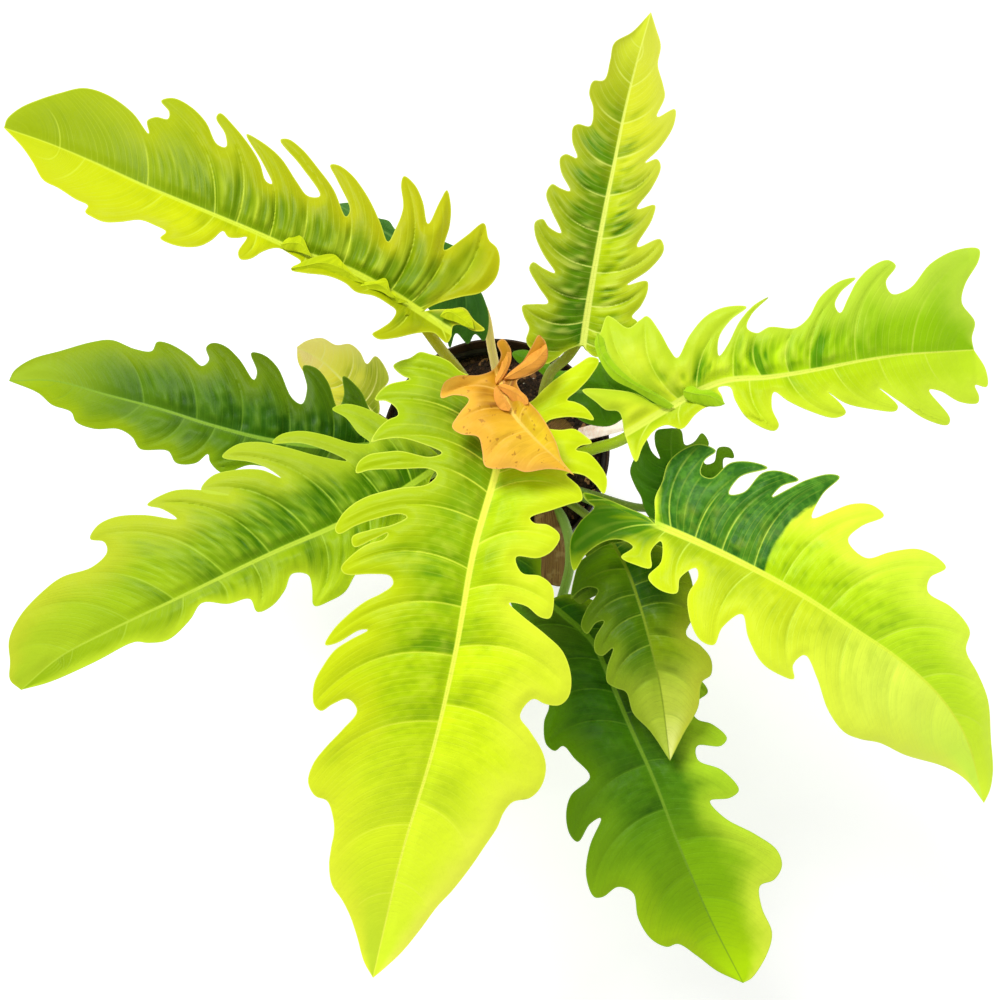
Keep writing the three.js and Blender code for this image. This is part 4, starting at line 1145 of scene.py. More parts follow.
def make_stalk_tree():
    """A round stalk along a line: swept, closed at its ends, its thickness changing from root
    to neck."""
    tree, given = new_tree("fleshy_stalk", {
        "Root width": "Float", "Neck width": "Float", "Sides": "Int", "Material": "Material",
    })
    start = Value(tree)
    line = start.node("GeometryNodeMeshToCurve", inputs={"Mesh": given["Geometry"]})
    part = start.node("GeometryNodeSplineParameter")
    named = {"data_type": "FLOAT", "domain": "POINT"}
    marked = start.node("GeometryNodeStoreNamedAttribute", named,
                        {"Geometry": line, "Name": "along", "Value": part})
    width = given["Root width"] + (given["Neck width"] - given["Root width"]) * part**0.5
    foot = 1 + 0.5 * (1 - part) ** 8
    thick = start.node("GeometryNodeSetCurveRadius",
                       inputs={"Curve": marked, "Radius": 0.5 * width * foot})
    ring = start.node("GeometryNodeCurvePrimitiveCircle",
                      inputs={"Resolution": given["Sides"], "Radius": 1.0})
    turned_ring = start.node("GeometryNodeStoreNamedAttribute", named,
                             {"Geometry": ring, "Name": "around", "Value": part})
    radius = start.node("GeometryNodeInputRadius")
    swept = start.node("GeometryNodeCurveToMesh",
                       inputs={"Curve": thick, "Profile Curve": turned_ring, "Scale": radius,
                               "Fill Caps": True})
    smooth = start.node("GeometryNodeSetShadeSmooth", inputs={0: swept})
    whole = start.node("GeometryNodeRealizeInstances", inputs={"Geometry": smooth})
    done = start.node("GeometryNodeSetMaterial",
                      inputs={"Geometry": whole, "Material": given["Material"]})
    start.node("NodeGroupOutput", inputs={0: done})
    return tree


stalk_tree = make_stalk_tree()


def make_stalk_skin(name, root, neck, blush, painted_glow=0.0):
    """A smooth stalk with fine lengthwise lines and a blush of another colour on some sides. glow
    is painted light that the stalk gives off itself, standing in for the light that comes through
    its tissue."""
    skin, start = new_skin(name)
    place = start.place()
    along, around = start.read("along"), start.read("around")
    turned_by = around * (2 * math.pi)
    lines = start.vector(start.maths("COSINE", turned_by) * 4, start.maths("SINE", turned_by) * 4,
                         along * 0.8).cloud(2.2, 4)
    spots = place.cloud(420, 3).rising(0.58, 0.72)
    colour = (along + 0.5 * (lines - 0.5)).rising(0.0, 1.0).mix(root, neck)
    colour = (lines.rising(0.5, 0.68) * 0.6).mix(colour, blush)
    colour = (spots * 0.2).mix(colour, paint(228, 232, 150))
    through = {"Emission_Color": colour, "Emission_Strength": painted_glow} if painted_glow else {}
    finish_skin(start, colour, 0.42 + 0.1 * spots, lines, 0.5, Specular_IOR_Level=0.15, **through)
    return skin


def make_stalk(name, surface, rib, leaves, guides, width, skin):
    """The stalk, from inside the stem up to the blade's base, where its top lies just under the
    sheet."""
    azimuth, start_height = leaves
    up = (start_height - STEM_SHOULDER[2]) / (STEM_TOP[2] - STEM_SHOULDER[2])
    angle = math.radians(azimuth)
    outward = np.array([math.cos(angle), math.sin(angle), 0])
    root = STEM_SHOULDER + (STEM_TOP - STEM_SHOULDER) * up + ROOT_IN_STEM * outward
    rib_line = smooth_curve(rib[:, :2] * [1, -1], 40 * (len(rib) - 1))
    station, _ = surface.measure(rib_line)
    seat = rib_line[np.argmax(station >= SEAT_ON_RIB)][None]
    height = surface.height(*surface.measure(seat))
    end = sight(seat[:, 0], -seat[:, 1], height)[0]
    passed = [sight(*guide) for guide in read_points(guides)]
    approach = (end - passed[-1]) / np.linalg.norm(end - passed[-1])
    end = end - [0, 0, 0.5 * width[1] * math.hypot(approach[0], approach[1]) + SEAT_GAP]
    axis = smooth_curve([root, *passed, end], STALK_STEPS)
    line = bpy.data.meshes.new(name)
    steps = [(i, i + 1) for i in range(len(axis) - 1)]
    line.from_pydata((axis * METRES).tolist(), steps, [])
    return run_tree(name, stalk_tree, line, {
        "Root width": width[0] * METRES, "Neck width": width[1] * METRES, "Sides": STALK_SIDES,
        "Material": skin,
    })


def grow_leaf(name, rib, left, right, left_veins, right_veins, rise, sag, back, leaves, guides,
              width, blade_skin, stalk_colours, rise_right=None, curls=(), **form):
    """One leaf: its blade and its stalk, each in place of the node of that name. rise and sag are
    how the two halves climb from the midrib and droop to the margin, at its base and at its tip,
    and back is how the part behind its base climbs. leaves is where the stalk leaves the stem, as
    an angle and a height, guides are what it passes, and width is its own at stem and blade."""
    rib = read_points(rib)
    surface = Surface(rib, rise, rise_right, sag, back)
    skin = make_blade_skin(name + "_blade_skin", **blade_skin)
    blade = make_blade(name + "_blade", surface, rib, left, right, left_veins, right_veins, skin,
                       **form)
    join_pieces(blade, [make_curl(surface, f"{name}_curl_{k}", skin, *curl)
                        for k, curl in enumerate(curls)])
    settle(blade, "leaf", "blade_" + name)
    stalk = make_stalk(name + "_stalk", surface, rib, leaves, guides, width,
                       make_stalk_skin(name + "_stalk_skin", *stalk_colours))
    settle(stalk, "petiole", "petiole_" + name)


grow_leaf(
    name="front",
    rib=(
        "509,412,414 497,468,424 474,550,425 456,650,410 433,750,378 403,850,334 385,925,298 "
        "373,978,274"
    ),
    right=(
        "500,404 493,393 483,384 472,377 460,371 450,362 440,357 430,354 420,352 410,358 400,361 "
        "393,366 403,376 410,379 390,384 380,391 375,400 386,401 396,408 398,415 388,420 378,429 "
        "371,442 380,440 400,438 420,443 442,453 430,457 400,451 385,452 368,455 358,463 356,473 "
        "370,470 400,469 430,469 437,474 428,484 400,488 382,492 366,497 352,505 341,516 335,530 "
        "339,534 355,526 372,520 400,514 407,517 392,525 370,530 352,537 354,547 372,540 388,533 "
        "384,539 368,544 352,555 341,568 345,574 372,574 390,576 393,584 382,593 366,601 350,613 "
        "333,630 325,645 337,643 360,630 368,630 350,640 335,650 323,666 314,684 314,705 321,711 "
        "333,704 348,699 357,711 343,729 325,748 313,764 308,782 315,796 327,801 333,818 334,832 "
        "331,848 329,866 332,885 342,900 350,916 357,937 364,962"
    ),
    left=(
        "516,406 524,404 532,401 545,388 560,376 578,364 590,357 599,360 590,377 578,390 567,400 "
        "575,402 586,408 594,420 582,418 565,417 548,421 544,427 560,430 574,429 584,435 592,443 "
        "580,446 576,450 588,453 599,464 607,479 604,494 595,484 583,475 566,474 580,488 582,500 "
        "570,504 552,510 530,518 534,523 548,525 560,536 552,551 538,558 516,557 522,573 540,576 "
        "552,586 554,600 550,618 540,617 526,606 509,603 520,614 546,635 563,652 571,676 569,696 "
        "560,705 545,704 533,699 520,716 530,731 543,753 546,769 541,787 530,798 513,802 504,812 "
        "497,828 485,846 470,868 452,891 437,907 420,930 402,952 385,968"
    ),
    right_veins=(
        "3 393,366; 7 375,400; 10.5 371,442; 14.5 356,471; 19.5 335,531; 28 341,570; 34.5 "
        "325,645; 43 314,703; 54.5 308,785; 73 331,865; 85 350,916"
    ),
    left_veins=(
        "3 599,360; 8 594,420; 11 607,490; 14 582,497; 24 560,540; 31.5 553,607; 41.5 569,690; "
        "51.5 545,778; 69 472,866; 83 430,915"
    ),
    rise=(0.2, 0.1),
    sag=(0.2, 0.28),
    back=-0.05,
    leaves=(225, 206),
    guides="508,440,345",
    width=(11, 8),
    pleat=0.1, midrib=2.7, pucker=(0.22, 0.4),
    marks="400,548,30,0.55 442,640,20,0.4 385,640,26,0.2 440,575,22,0.6 478,500,16,0.45 "
          "330,752,16,0.4",
    blade_skin=dict(
        left=(paint(198, 240, 6), paint(190, 220, 6), paint(220, 246, 18), paint(224, 246, 42),
              paint(218, 244, 46)),
        right=(paint(94, 126, 6), paint(158, 194, 4), paint(186, 218, 6), paint(216, 238, 34),
               paint(196, 222, 46)),
        lobes=((paint(202, 224, 10), paint(228, 244, 52), paint(240, 246, 84)),
               (paint(160, 190, 6), paint(200, 218, 14), paint(228, 240, 52))),
        shade=paint(112, 158, 0), shading=(0.5, 0.8), shade_side=1.0,
        rib=paint(242, 250, 84), vein=paint(236, 250, 74), margin_line=paint(240, 252, 90),
        # A little painted light, given off by the blade itself.
        under=paint(206, 226, 92), vein_strength=0.6, painted_glow=0.04,
    ),
    stalk_colours=(paint(120, 140, 40), paint(190, 214, 50), paint(146, 150, 52)),
)

# Upper left leaf
# A long leaf whose two halves are folded up from the midrib. The upper half is pleated and
# olive green, the narrow lower half is clear yellow.
grow_leaf(
    name="upper_left",
    rib=(
        "421,312,414 390,292,422 345,268,427 300,252,429 250,230,428 200,209,424 145,186,416 "
        "95,163,405 50,144,391 4,128,374"
    ),
    left=(
        "432,310 450,309 464,308 474,320 485,330 474,331 462,325 453,326 451,337 447,343 440,338 "
        "434,333 418,333 395,338 378,339 372,334 380,329 391,321 396,311 388,304 374,296 356,292 "
        "345,283 328,276 304,273 291,270 292,267 301,262 290,254 278,248 264,251 250,259 240,259 "
        "238,252 247,237 238,238 228,237 223,231 212,240 200,246 184,247 168,243 160,238 166,232 "
        "154,225 140,220 120,222 104,222 92,217 85,212 88,206 75,199 58,188 43,180 33,163 22,147"
    ),
    right=(
        "436,304 460,297 482,292 496,278 500,260 497,248 489,240 484,223 466,236 444,250 450,225 "
        "451,206 447,190 439,203 428,224 423,202 415,185 404,176 401,184 403,208 395,230 388,242 "
        "380,222 368,197 352,175 338,165 330,165 337,180 350,210 346,217 334,190 318,168 302,149 "
        "288,139 280,140 300,165 320,196 308,196 297,182 281,158 262,142 246,134 262,162 272,184 "
        "266,181 260,163 250,146 234,126 220,113 216,118 225,134 226,147 217,144 206,122 190,106 "
        "173,98 161,101 169,112 168,119 156,117 147,121 149,134 133,113 108,95 84,88 60,93 38,100 "
        "20,108 7,119"
    ),
    left_veins=(
        "0 485,330; 0.5 447,343; 2 372,336; 12 356,292; 28 291,271; 40 240,259; 50 162,238; 62 "
        "88,212; 81 43,180"
    ),
    right_veins=(
        "1 484,223; 3 447,190; 8 404,176; 20 330,165; 30 280,140; 37 246,134; 45 216,113; 50 "
        "161,101; 66 108,95; 87 38,100"
    ),
    rise=(0.95, 0.5),
    rise_right=(0.28, 0.16),
    sag=(0.4, 0.3),
    back=0.1,
    leaves=(160, 206),
    guides="461,374,330 437,344,384",
    width=(10.5, 8.5),
    pleat=0.19, midrib=2.4, pucker=(0.3, 1.2), stretch=0.13,
    marks="470,252,14,0.8 455,275,12,0.5 60,120,30,0.25 395,315,10,0.8 420,318,8,0.6 446,262,9,0.5",
    curls=(
        ("281,245,2 290,243,6 300,244,7 312,257,2", "284,241 288,238 297,235 303,238 308,249",
         "286,250 293,251 302,253"),
        ("291,268.5,1 305,266,5 322,263,8 340,268,8 364,283,2",
         "302,262 320,255.6 334,254.4 344,264 356,277", "300,271.5 320,272.5 340,275 350,280"),
        ("358,287,1 370,285,5 380,285,7 395,298,2", "366,282 376,281 385,278 388,282 390,291",
         "362,290 372,289.5 382,292 390,297"),
        ("386,291,3 396,297,5 408,302,2", "392,291 400,297", "390,300 398,303"),
        ("440,316,1 449,312,5 460,318,6 474,329,1", "445,310 452,309 464,310 472,320",
         "446,319 456,322 464,326"),
    ),
    blade_skin=dict(
        left=(paint(168, 182, 6), paint(210, 222, 6), paint(196, 210, 6)),
        right=(paint(120, 154, 4), paint(130, 160, 4), paint(156, 178, 4)),
        lobes=((paint(182, 192, 6), paint(200, 210, 6)), (paint(186, 190, 8), paint(160, 182, 6))),
        shade=paint(108, 142, 0), shading=(0.05, 0.9), mottle=0.5,
        rib=paint(214, 232, 56), vein=paint(214, 232, 66), margin_line=paint(228, 240, 80),
        under=paint(204, 222, 14), vein_strength=0.75,
    ),
    stalk_colours=(paint(150, 148, 10), paint(176, 170, 4), paint(156, 150, 8), 0.1),
)

# Back leaf
# The upright leaf at the back, toothed on both sides, with deep green patches between its veins
# and a pale tip. Two dark spots on its left side are painted cast shadows. Its stalk is olive, and
# brownish on some sides.
grow_leaf(
    name="back",
    rib=(
        "583,345,396 587,315,404 596,260,414 606,205,418 615,160,414 624,115,404 634,73,388 "
        "651,12,358"
    ),
    left=(
        "578,346 566,351 556,359 545,364 535,354 526,341 529,328 524,317 522,306 535,304 548,303 "
        "538,286 529,268 533,262 543,268 555,273 543,254 535,235 535,222 543,219 549,227 561,233 "
        "551,210 546,194 552,184 560,188 570,191 561,172 560,158 566,154 577,158 572,141 573,127 "
        "578,124 590,126 593,108 589,93 593,81 604,80 610,60 614,43 632,32"
    ),
    right=(
        "588,352 596,357 612,352 628,342 638,330 637,321 632,317 641,306 648,290 647,281 627,285 "
        "650,269 664,250 660,239 637,247 652,220 655,205 637,209 652,188 661,167 657,159 645,163 "
        "660,148 674,125 675,109 657,117 665,97 663,84 658,65 661,46 656,28"
    ),
    left_veins=(
        "1 530,345; 7 522,306; 13.5 530,264; 23 536,221; 33.5 549,185; 44 562,155; 53 575,125; 66 "
        "591,82; 78 614,43; 89 630,33"
    ),
    right_veins=(
        "1 628,342; 5 638,325; 11.5 648,283; 21.5 662,241; 31.5 654,205; 44.5 659,160; 55.5 "
        "674,110; 66 664,88; 77 660,47"
    ),
    rise=(0.3, 0.14),
    sag=(0.35, 0.3),
    back=0,
    leaves=(55, 204),
    guides="541,408,306 551,372,362 568,356,386",
    width=(10, 8),
    pleat=0.15, midrib=2.4, pucker=(1.1, 0.9), stretch=0.22,
    # The first two spots are painted cast shadows.
    marks="596,139,14,0.9 587,174,14,0.9 573,222,14,0.5 568,288,14,0.5 628,225,14,0.4 "
          "641,188,12,0.5",
    blade_skin=dict(
        left=(paint(58, 110, 4), paint(106, 142, 4), paint(152, 168, 6), paint(214, 226, 48)),
        right=(paint(176, 202, 6), paint(188, 210, 8), paint(210, 218, 36), paint(196, 204, 58)),
        lobes=((paint(166, 184, 16), paint(166, 176, 26)),
               (paint(184, 202, 26), paint(208, 214, 68))),
        shade=paint(92, 138, 0), shading=(1.1, 0.8),
        rib=paint(228, 238, 104), vein=paint(228, 240, 116), margin_line=paint(232, 242, 112),
        under=paint(186, 202, 92), vein_strength=0.6,
    ),
    stalk_colours=(paint(112, 128, 20), paint(150, 158, 40), paint(150, 120, 60), 0.06),
)

# Right leaf
# A leaf held out to the right. The upper half bends up and is greener, the lower half lies flat
# and is an even yellow green.
grow_leaf(
    name="right",
    rib=(
        "672,406,402 698,391,408 728,380,413 770,377,417 820,369,417 860,361,413 900,355,406 "
        "940,352,396 974,350,378"
    ),
    left=(
        "664,399 650,391 628,384 611,375 600,358 596,342 601,331 607,316 613,318 628,328 640,320 "
        "647,316 660,332 670,350 677,358 689,336 706,316 725,307 747,307 731,320 719,338 719,356 "
        "728,344 739,322 754,305 769,297 752,314 747,328 757,333 769,327 795,328 808,318 820,297 "
        "840,281 856,278 841,292 835,305 840,313 848,298 857,281 872,266 888,260 896,266 886,282 "
        "892,294 910,288 930,264 956,250 979,249 979,260 965,285 962,303 975,322 972,338"
    ),
    right=(
        "668,402 655,404 640,395 615,390 582,390 596,402 606,410 619,412 625,435 636,462 643,446 "
        "655,430 667,425 682,429 696,414 707,407 723,405 722,396 718,388 730,387 735,400 748,419 "
        "774,431 779,426 772,408 774,392 788,401 812,412 835,418 846,413 840,403 828,392 845,403 "
        "870,409 896,411 898,406 879,388 900,402 925,419 948,425 950,418 929,390 940,391 960,402 "
        "978,403 979,396 975,385 987,387 986,370"
    ),
    left_veins=(
        "0 597,343; 1 608,317; 3 646,317; 9 746,308; 22 768,298; 31 757,332; 40 795,328; 46.5 "
        "855,279; 62 893,263; 80 977,252; 93 974,325"
    ),
    right_veins=(
        "0 583,391; 1 636,461; 4 682,428; 9 716,410; 27 776,430; 39 845,415; 54 897,409; 69 "
        "949,423; 84 978,402; 94 987,386"
    ),
    rise=(0.5, 0.25),
    rise_right=(0.2, 0.1),
    sag=(0.5, 0.4),
    back=0.12,
    leaves=(5, 204),
    guides="590,450,280 625,438,345",
    width=(11, 8.5),
    pleat=0.13, midrib=2.4, pucker=(0.9, 0.05), stretch=0.2,
    marks="770,350,16,0.4 690,370,18,0.25 800,340,20,0.2 725,350,14,0.3 745,345,12,0.5 "
          "840,330,22,0.25 885,335,24,0.2",
    curls=(
        ("597.5,333,1 600,350,5 612,369,7 632,384,6 654,395,4 674,406,1",
         "603,338 607,352 617,366 634,381 650,390 666,400",
         "594.5,343 600,361 613,379 634,390 652,401 668,409"),
        ("683,391,2 695,394,6 709,396,6 725,404,1", "690,385 700,390 709,390 720,396",
         "685,398 694,403 710,406.5 720,406"),
    ),
    blade_skin=dict(
        left=(paint(228, 246, 46), paint(204, 246, 18), paint(158, 206, 8), paint(144, 196, 8)),
        right=(paint(188, 212, 6), paint(188, 218, 12), paint(192, 228, 34)),
        lobes=((paint(190, 218, 38), paint(184, 220, 56)),
               (paint(212, 234, 32), paint(210, 240, 54))),
        shade=paint(96, 156, 0), shading=(0.8, 0.15), mottle=0.35,
        rib=paint(230, 244, 90), vein=paint(218, 238, 86), margin_line=paint(226, 244, 92),
        under=paint(158, 204, 24), vein_strength=0.6,
    ),
    stalk_colours=(paint(150, 180, 14), paint(176, 208, 14), paint(150, 160, 20), 0.12),
)

# Lower right leaf
# A broad leaf, variegated: the upper half is dark bluish green from the base to its fourth vein,
# and bright yellow green everywhere else.
grow_leaf(
    name="lower_right",
    rib=(
        "655,524,366 693,540,378 740,562,388 800,594,392 851,627,387 900,660,374 940,697,354 "
        "966,738,328 984,803,286"
    ),
    left=(
        "655,512 655,498 662,482 668,463 682,450 700,444 716,451 705,460 701,474 712,478 730,463 "
        "752,462 768,468 740,477 729,494 744,492 762,473 780,471 799,480 782,486 772,497 790,488 "
        "806,480 830,474 840,477 823,494 812,518 830,512 852,504 872,505 884,516 862,526 848,540 "
        "866,558 890,552 918,549 938,558 946,568 930,578 928,592 950,606 964,620 970,632 966,650 "
        "978,674 988,700 991,740 993,770 990,790"
    ),
    right=(
        "646,516 628,508 604,498 583,493 588,502 594,507 580,522 570,542 574,571 586,554 606,541 "
        "622,540 633,547 621,557 636,565 651,568 651,551 661,541 661,562 648,577 660,590 677,593 "
        "680,578 696,568 698,577 688,595 690,620 700,640 714,645 722,628 742,614 748,637 762,663 "
        "780,675 794,679 793,665 805,655 817,678 828,710 844,732 860,739 880,743 905,755 945,767 "
        "966,780"
    ),
    left_veins=(
        "4 700,446; 9.5 768,467; 16 799,480; 24 840,477; 31 884,514; 43 946,567; 55.5 970,640; "
        "68.5 985,690; 79 990,740"
    ),
    right_veins=(
        "0.5 574,568; 3 651,568; 9 677,593; 24.5 714,645; 37 794,679; 49.5 860,739; 62 905,755; "
        "74 945,767"
    ),
    rise=(0.22, 0.12),
    rise_right=(0.24, 0.12),
    sag=(0.3, 0.32),
    back=0,
    leaves=(315, 206),
    guides="575,492,272 622,512,338",
    width=(11, 8.5),
    pleat=0.1, midrib=2.6, wave=0.6, pucker=(0.35, 0.2),
    marks="645,536,14,0.5 640,516,16,0.8 600,510,30,1.1 570,540,26,1.2 620,528,20,0.9",
    blade_skin=dict(
        left=(paint(174, 220, 6), paint(184, 220, 8), paint(188, 228, 32), paint(212, 240, 54)),
        right=(paint(160, 186, 8), paint(194, 214, 26), paint(224, 246, 80), paint(208, 246, 74)),
        lobes=((paint(226, 246, 52), paint(208, 238, 66)),
               (paint(204, 222, 22), paint(228, 246, 78))),
        shade=paint(78, 132, 8), shading=(0.35, 0.15), shade_side=1.0, mottle=0.2,
        dark_span=(-0.3, 3.35), dark=(paint(42, 98, 20), paint(84, 142, 36)),
        rib=paint(218, 238, 64), vein=paint(206, 232, 80), margin_line=paint(226, 244, 84),
        # A little painted light, given off by the blade itself.
        under=paint(204, 224, 98), vein_strength=0.6, rib_from=0.03, painted_glow=0.1,
    ),
    stalk_colours=(paint(92, 122, 24), paint(100, 142, 20), paint(100, 128, 30)),
)

# Low front leaf
# An older leaf that hangs lowest, in front. It is dark green and deeply lobed, and grows lighter
# and yellower towards its tip.
grow_leaf(
    name="low_front",
    rib=(
        "548,602,256 566,617,262 592,641,267 607,672,271 628,722,274 654,780,272 680,848,262 "
        "710,918,242 743,983,214"
    ),
    right=(
        "543,590 541,572 540,556 526,549 510,553 504,568 508,594 520,628 536,672 549,705 544,722 "
        "546,744 555,751 563,746 574,758 590,777 571,795 566,815 570,835 578,842 590,824 601,818 "
        "590,845 586,875 594,897 603,897 618,887 633,893 638,918 651,939 667,947 678,944 697,956 "
        "717,971"
    ),
    left=(
        "556,597 570,594 588,598 606,608 625,628 650,655 675,675 700,680 708,692 700,699 690,706 "
        "697,719 712,724 727,738 721,746 697,746 698,760 722,770 739,790 730,798 710,801 725,818 "
        "755,834 777,850 782,866 774,880 760,886 762,908 772,932 768,952 752,978"
    ),
    right_veins=(
        "0 510,556; 5 507,594; 12 522,632; 19 538,676; 27 549,706; 35 548,742; 45 575,838; 56 "
        "592,888; 72 652,938; 87 692,953"
    ),
    left_veins=(
        "3 606,609; 10 650,656; 20 706,691; 32 726,741; 44 737,793; 64 781,868; 78 771,934; 90 "
        "758,968"
    ),
    rise=(0.12, 0.06),
    sag=(0.2, 0.2),
    back=-0.1,
    leaves=(270, 176),
    guides="563,520,214 570,562,240",
    width=(10, 8),
    pleat=0.12, midrib=2.2, wave=0.6, pucker=(0.3, 0.3),
    marks="600,720,50,0.2",
    blade_skin=dict(
        left=(paint(48, 102, 8), paint(58, 88, 8), paint(78, 128, 8), paint(132, 180, 8),
              paint(182, 224, 6)),
        right=(paint(84, 114, 20), paint(62, 116, 8), paint(82, 132, 8), paint(114, 158, 8),
               paint(184, 228, 8)),
        lobes=((paint(140, 168, 20), paint(172, 210, 40), paint(226, 246, 66)),
               (paint(94, 148, 10), paint(110, 156, 14), paint(168, 202, 16))),
        shade=paint(36, 78, 2), shading=(0.5, 0.6), shade_side=1.0, mottle=0.35,
        rib=paint(116, 156, 36), vein=paint(110, 154, 38), margin_line=paint(150, 190, 60),
        under=paint(126, 160, 70), vein_strength=0.4, edge_share=0.4,
    ),
    stalk_colours=(paint(116, 150, 60), paint(150, 184, 88), paint(132, 152, 70)),
)

# Small front leaf
# A small olive leaf in front of the stem, pale and streaked over its outer half. Parts of its
# margin are turned under.
grow_leaf(
    name="small_front",
    rib="613,543,318 628,572,326 640,606,328 650,642,325 660,686,316 670,761,290",
    right=(
        "603,546 592,553 580,562 574,578 571,599 578,592 588,587 598,590 586,610 581,626 587,634 "
        "596,623 604,621 595,638 595,652 602,656 613,648 607,668 607,682 616,688 626,692 633,713 "
        "650,731"
    ),
    left=(
        "628,541 650,543 672,552 688,570 694,592 696,612 686,634 700,645 711,659 711,675 702,682 "
        "698,708 684,733"
    ),
    right_veins="3 582,563; 13 572,597; 25 586,632; 34 600,655; 48 612,686; 63 628,703; 80 645,728",
    left_veins="3 650,543; 10 676,555; 21 694,590; 31 695,615; 44 711,668; 60 699,700; 79 687,728",
    rise=(0.16, 0.08),
    sag=(0.35, 0.4),
    back=0,
    leaves=(292, 188),
    guides="570,503,238 598,526,290",
    width=(8.5, 6.5),
    pleat=0.11, midrib=1.15, wave=0.4, pucker=(0.35, 0.35),
    curls=(
        ("600,582,-5 588,590,-7 574,599,-8", "594,578 582,583 573,592", "600,592 589,599 580,604"),
        ("634,541,-5 615,539,-6 598,544,-7 584,553,-7", "630,534 614,532 595,537 580,547",
         "632,548 616,546 601,551 589,559"),
        ("667,541,-5 650,540,-6 636,542,-6", "664,535 650,533 638,535", "664,548 650,547 638,549"),
    ),
    blade_skin=dict(
        left=(paint(56, 112, 8), paint(42, 88, 6), paint(122, 148, 8), paint(198, 214, 72),
              paint(238, 240, 142)),
        right=(paint(134, 176, 8), paint(68, 104, 6), paint(80, 118, 4), paint(174, 196, 52),
               paint(182, 202, 72)),
        lobes=((paint(116, 136, 16), paint(204, 212, 60)),
               (paint(82, 118, 8), paint(156, 178, 40))),
        shade=paint(52, 86, 0), shading=(0.6, 0.6), shade_side=1.0,
        rib=paint(128, 150, 34), vein=paint(138, 164, 46), margin_line=paint(168, 192, 70),
        under=paint(96, 130, 24), vein_strength=0.6, edge_share=0.5,
    ),
    stalk_colours=(paint(100, 122, 38), paint(130, 152, 40), paint(120, 128, 46)),
)

# Lower left leaf
# A long yellow green leaf that reaches forward on the left, darker beside the midrib and
# wrinkled between its veins.
grow_leaf(
    name="lower_left",
    rib=(
        "436,468,350 390,498,362 335,526,371 279,550,375 228,574,375 174,600,370 105,633,356 "
        "60,657,342 21,690,322"
    ),
    left=(
        "430,480 424,500 408,522 388,543 370,560 356,574 345,592 330,601 314,606 312,588 308,575 "
        "292,574 285,590 272,606 257,612 250,599 228,604 202,603 190,620 168,640 148,643 135,642 "
        "95,662 50,682"
    ),
    right=(
        "440,458 428,446 408,432 388,420 365,408 345,404 332,409 346,418 358,433 370,443 352,443 "
        "325,435 300,431 280,435 272,443 300,443 330,452 347,461 318,456 285,447 258,442 236,445 "
        "222,457 250,462 267,468 281,478 262,470 235,470 212,476 201,490 228,495 200,490 172,491 "
        "147,505 162,509 177,519 145,515 115,517 97,526 90,539 104,542 107,552 92,567 62,577 "
        "42,592 20,616 9,640 10,662 10,680"
    ),
    left_veins=(
        "3 424,500; 9 388,543; 17 345,592; 28 315,605; 44 258,611; 52 228,603; 60 160,642; 73 "
        "95,662; 86 50,682"
    ),
    right_veins=(
        "6 333,408; 13 273,442; 22 222,456; 30 202,489; 39.5 148,504; 50 90,538; 62 52,584; 72.5 "
        "18,618; 87 9,655"
    ),
    rise=(0.1, 0.06),
    rise_right=(0.28, 0.14),
    sag=(0.4, 0.3),
    back=-0.1,
    leaves=(215, 190),
    guides="490,462,270 455,462,328",
    width=(10, 8),
    pleat=0.14, midrib=2.3, wave=0.6, pucker=(0.5, 0.9), stretch=0.2,
    marks="310,560,24,0.4",
    blade_skin=dict(
        left=(paint(138, 168, 8), paint(154, 186, 8), paint(156, 188, 12), paint(148, 180, 12)),
        right=(paint(94, 132, 8), paint(108, 152, 8), paint(160, 194, 16), paint(174, 202, 36)),
        lobes=((paint(194, 218, 28), paint(200, 230, 44)),
               (paint(168, 192, 30), paint(188, 202, 40))),
        shade=paint(68, 116, 0), shading=(0.4, 0.85), mottle=0.35,
        rib=paint(190, 218, 60), vein=paint(178, 210, 60), margin_line=paint(196, 222, 70),
        under=paint(168, 192, 80), vein_strength=0.7,
    ),
    stalk_colours=(paint(110, 134, 38), paint(150, 176, 40), paint(126, 136, 46)),
)

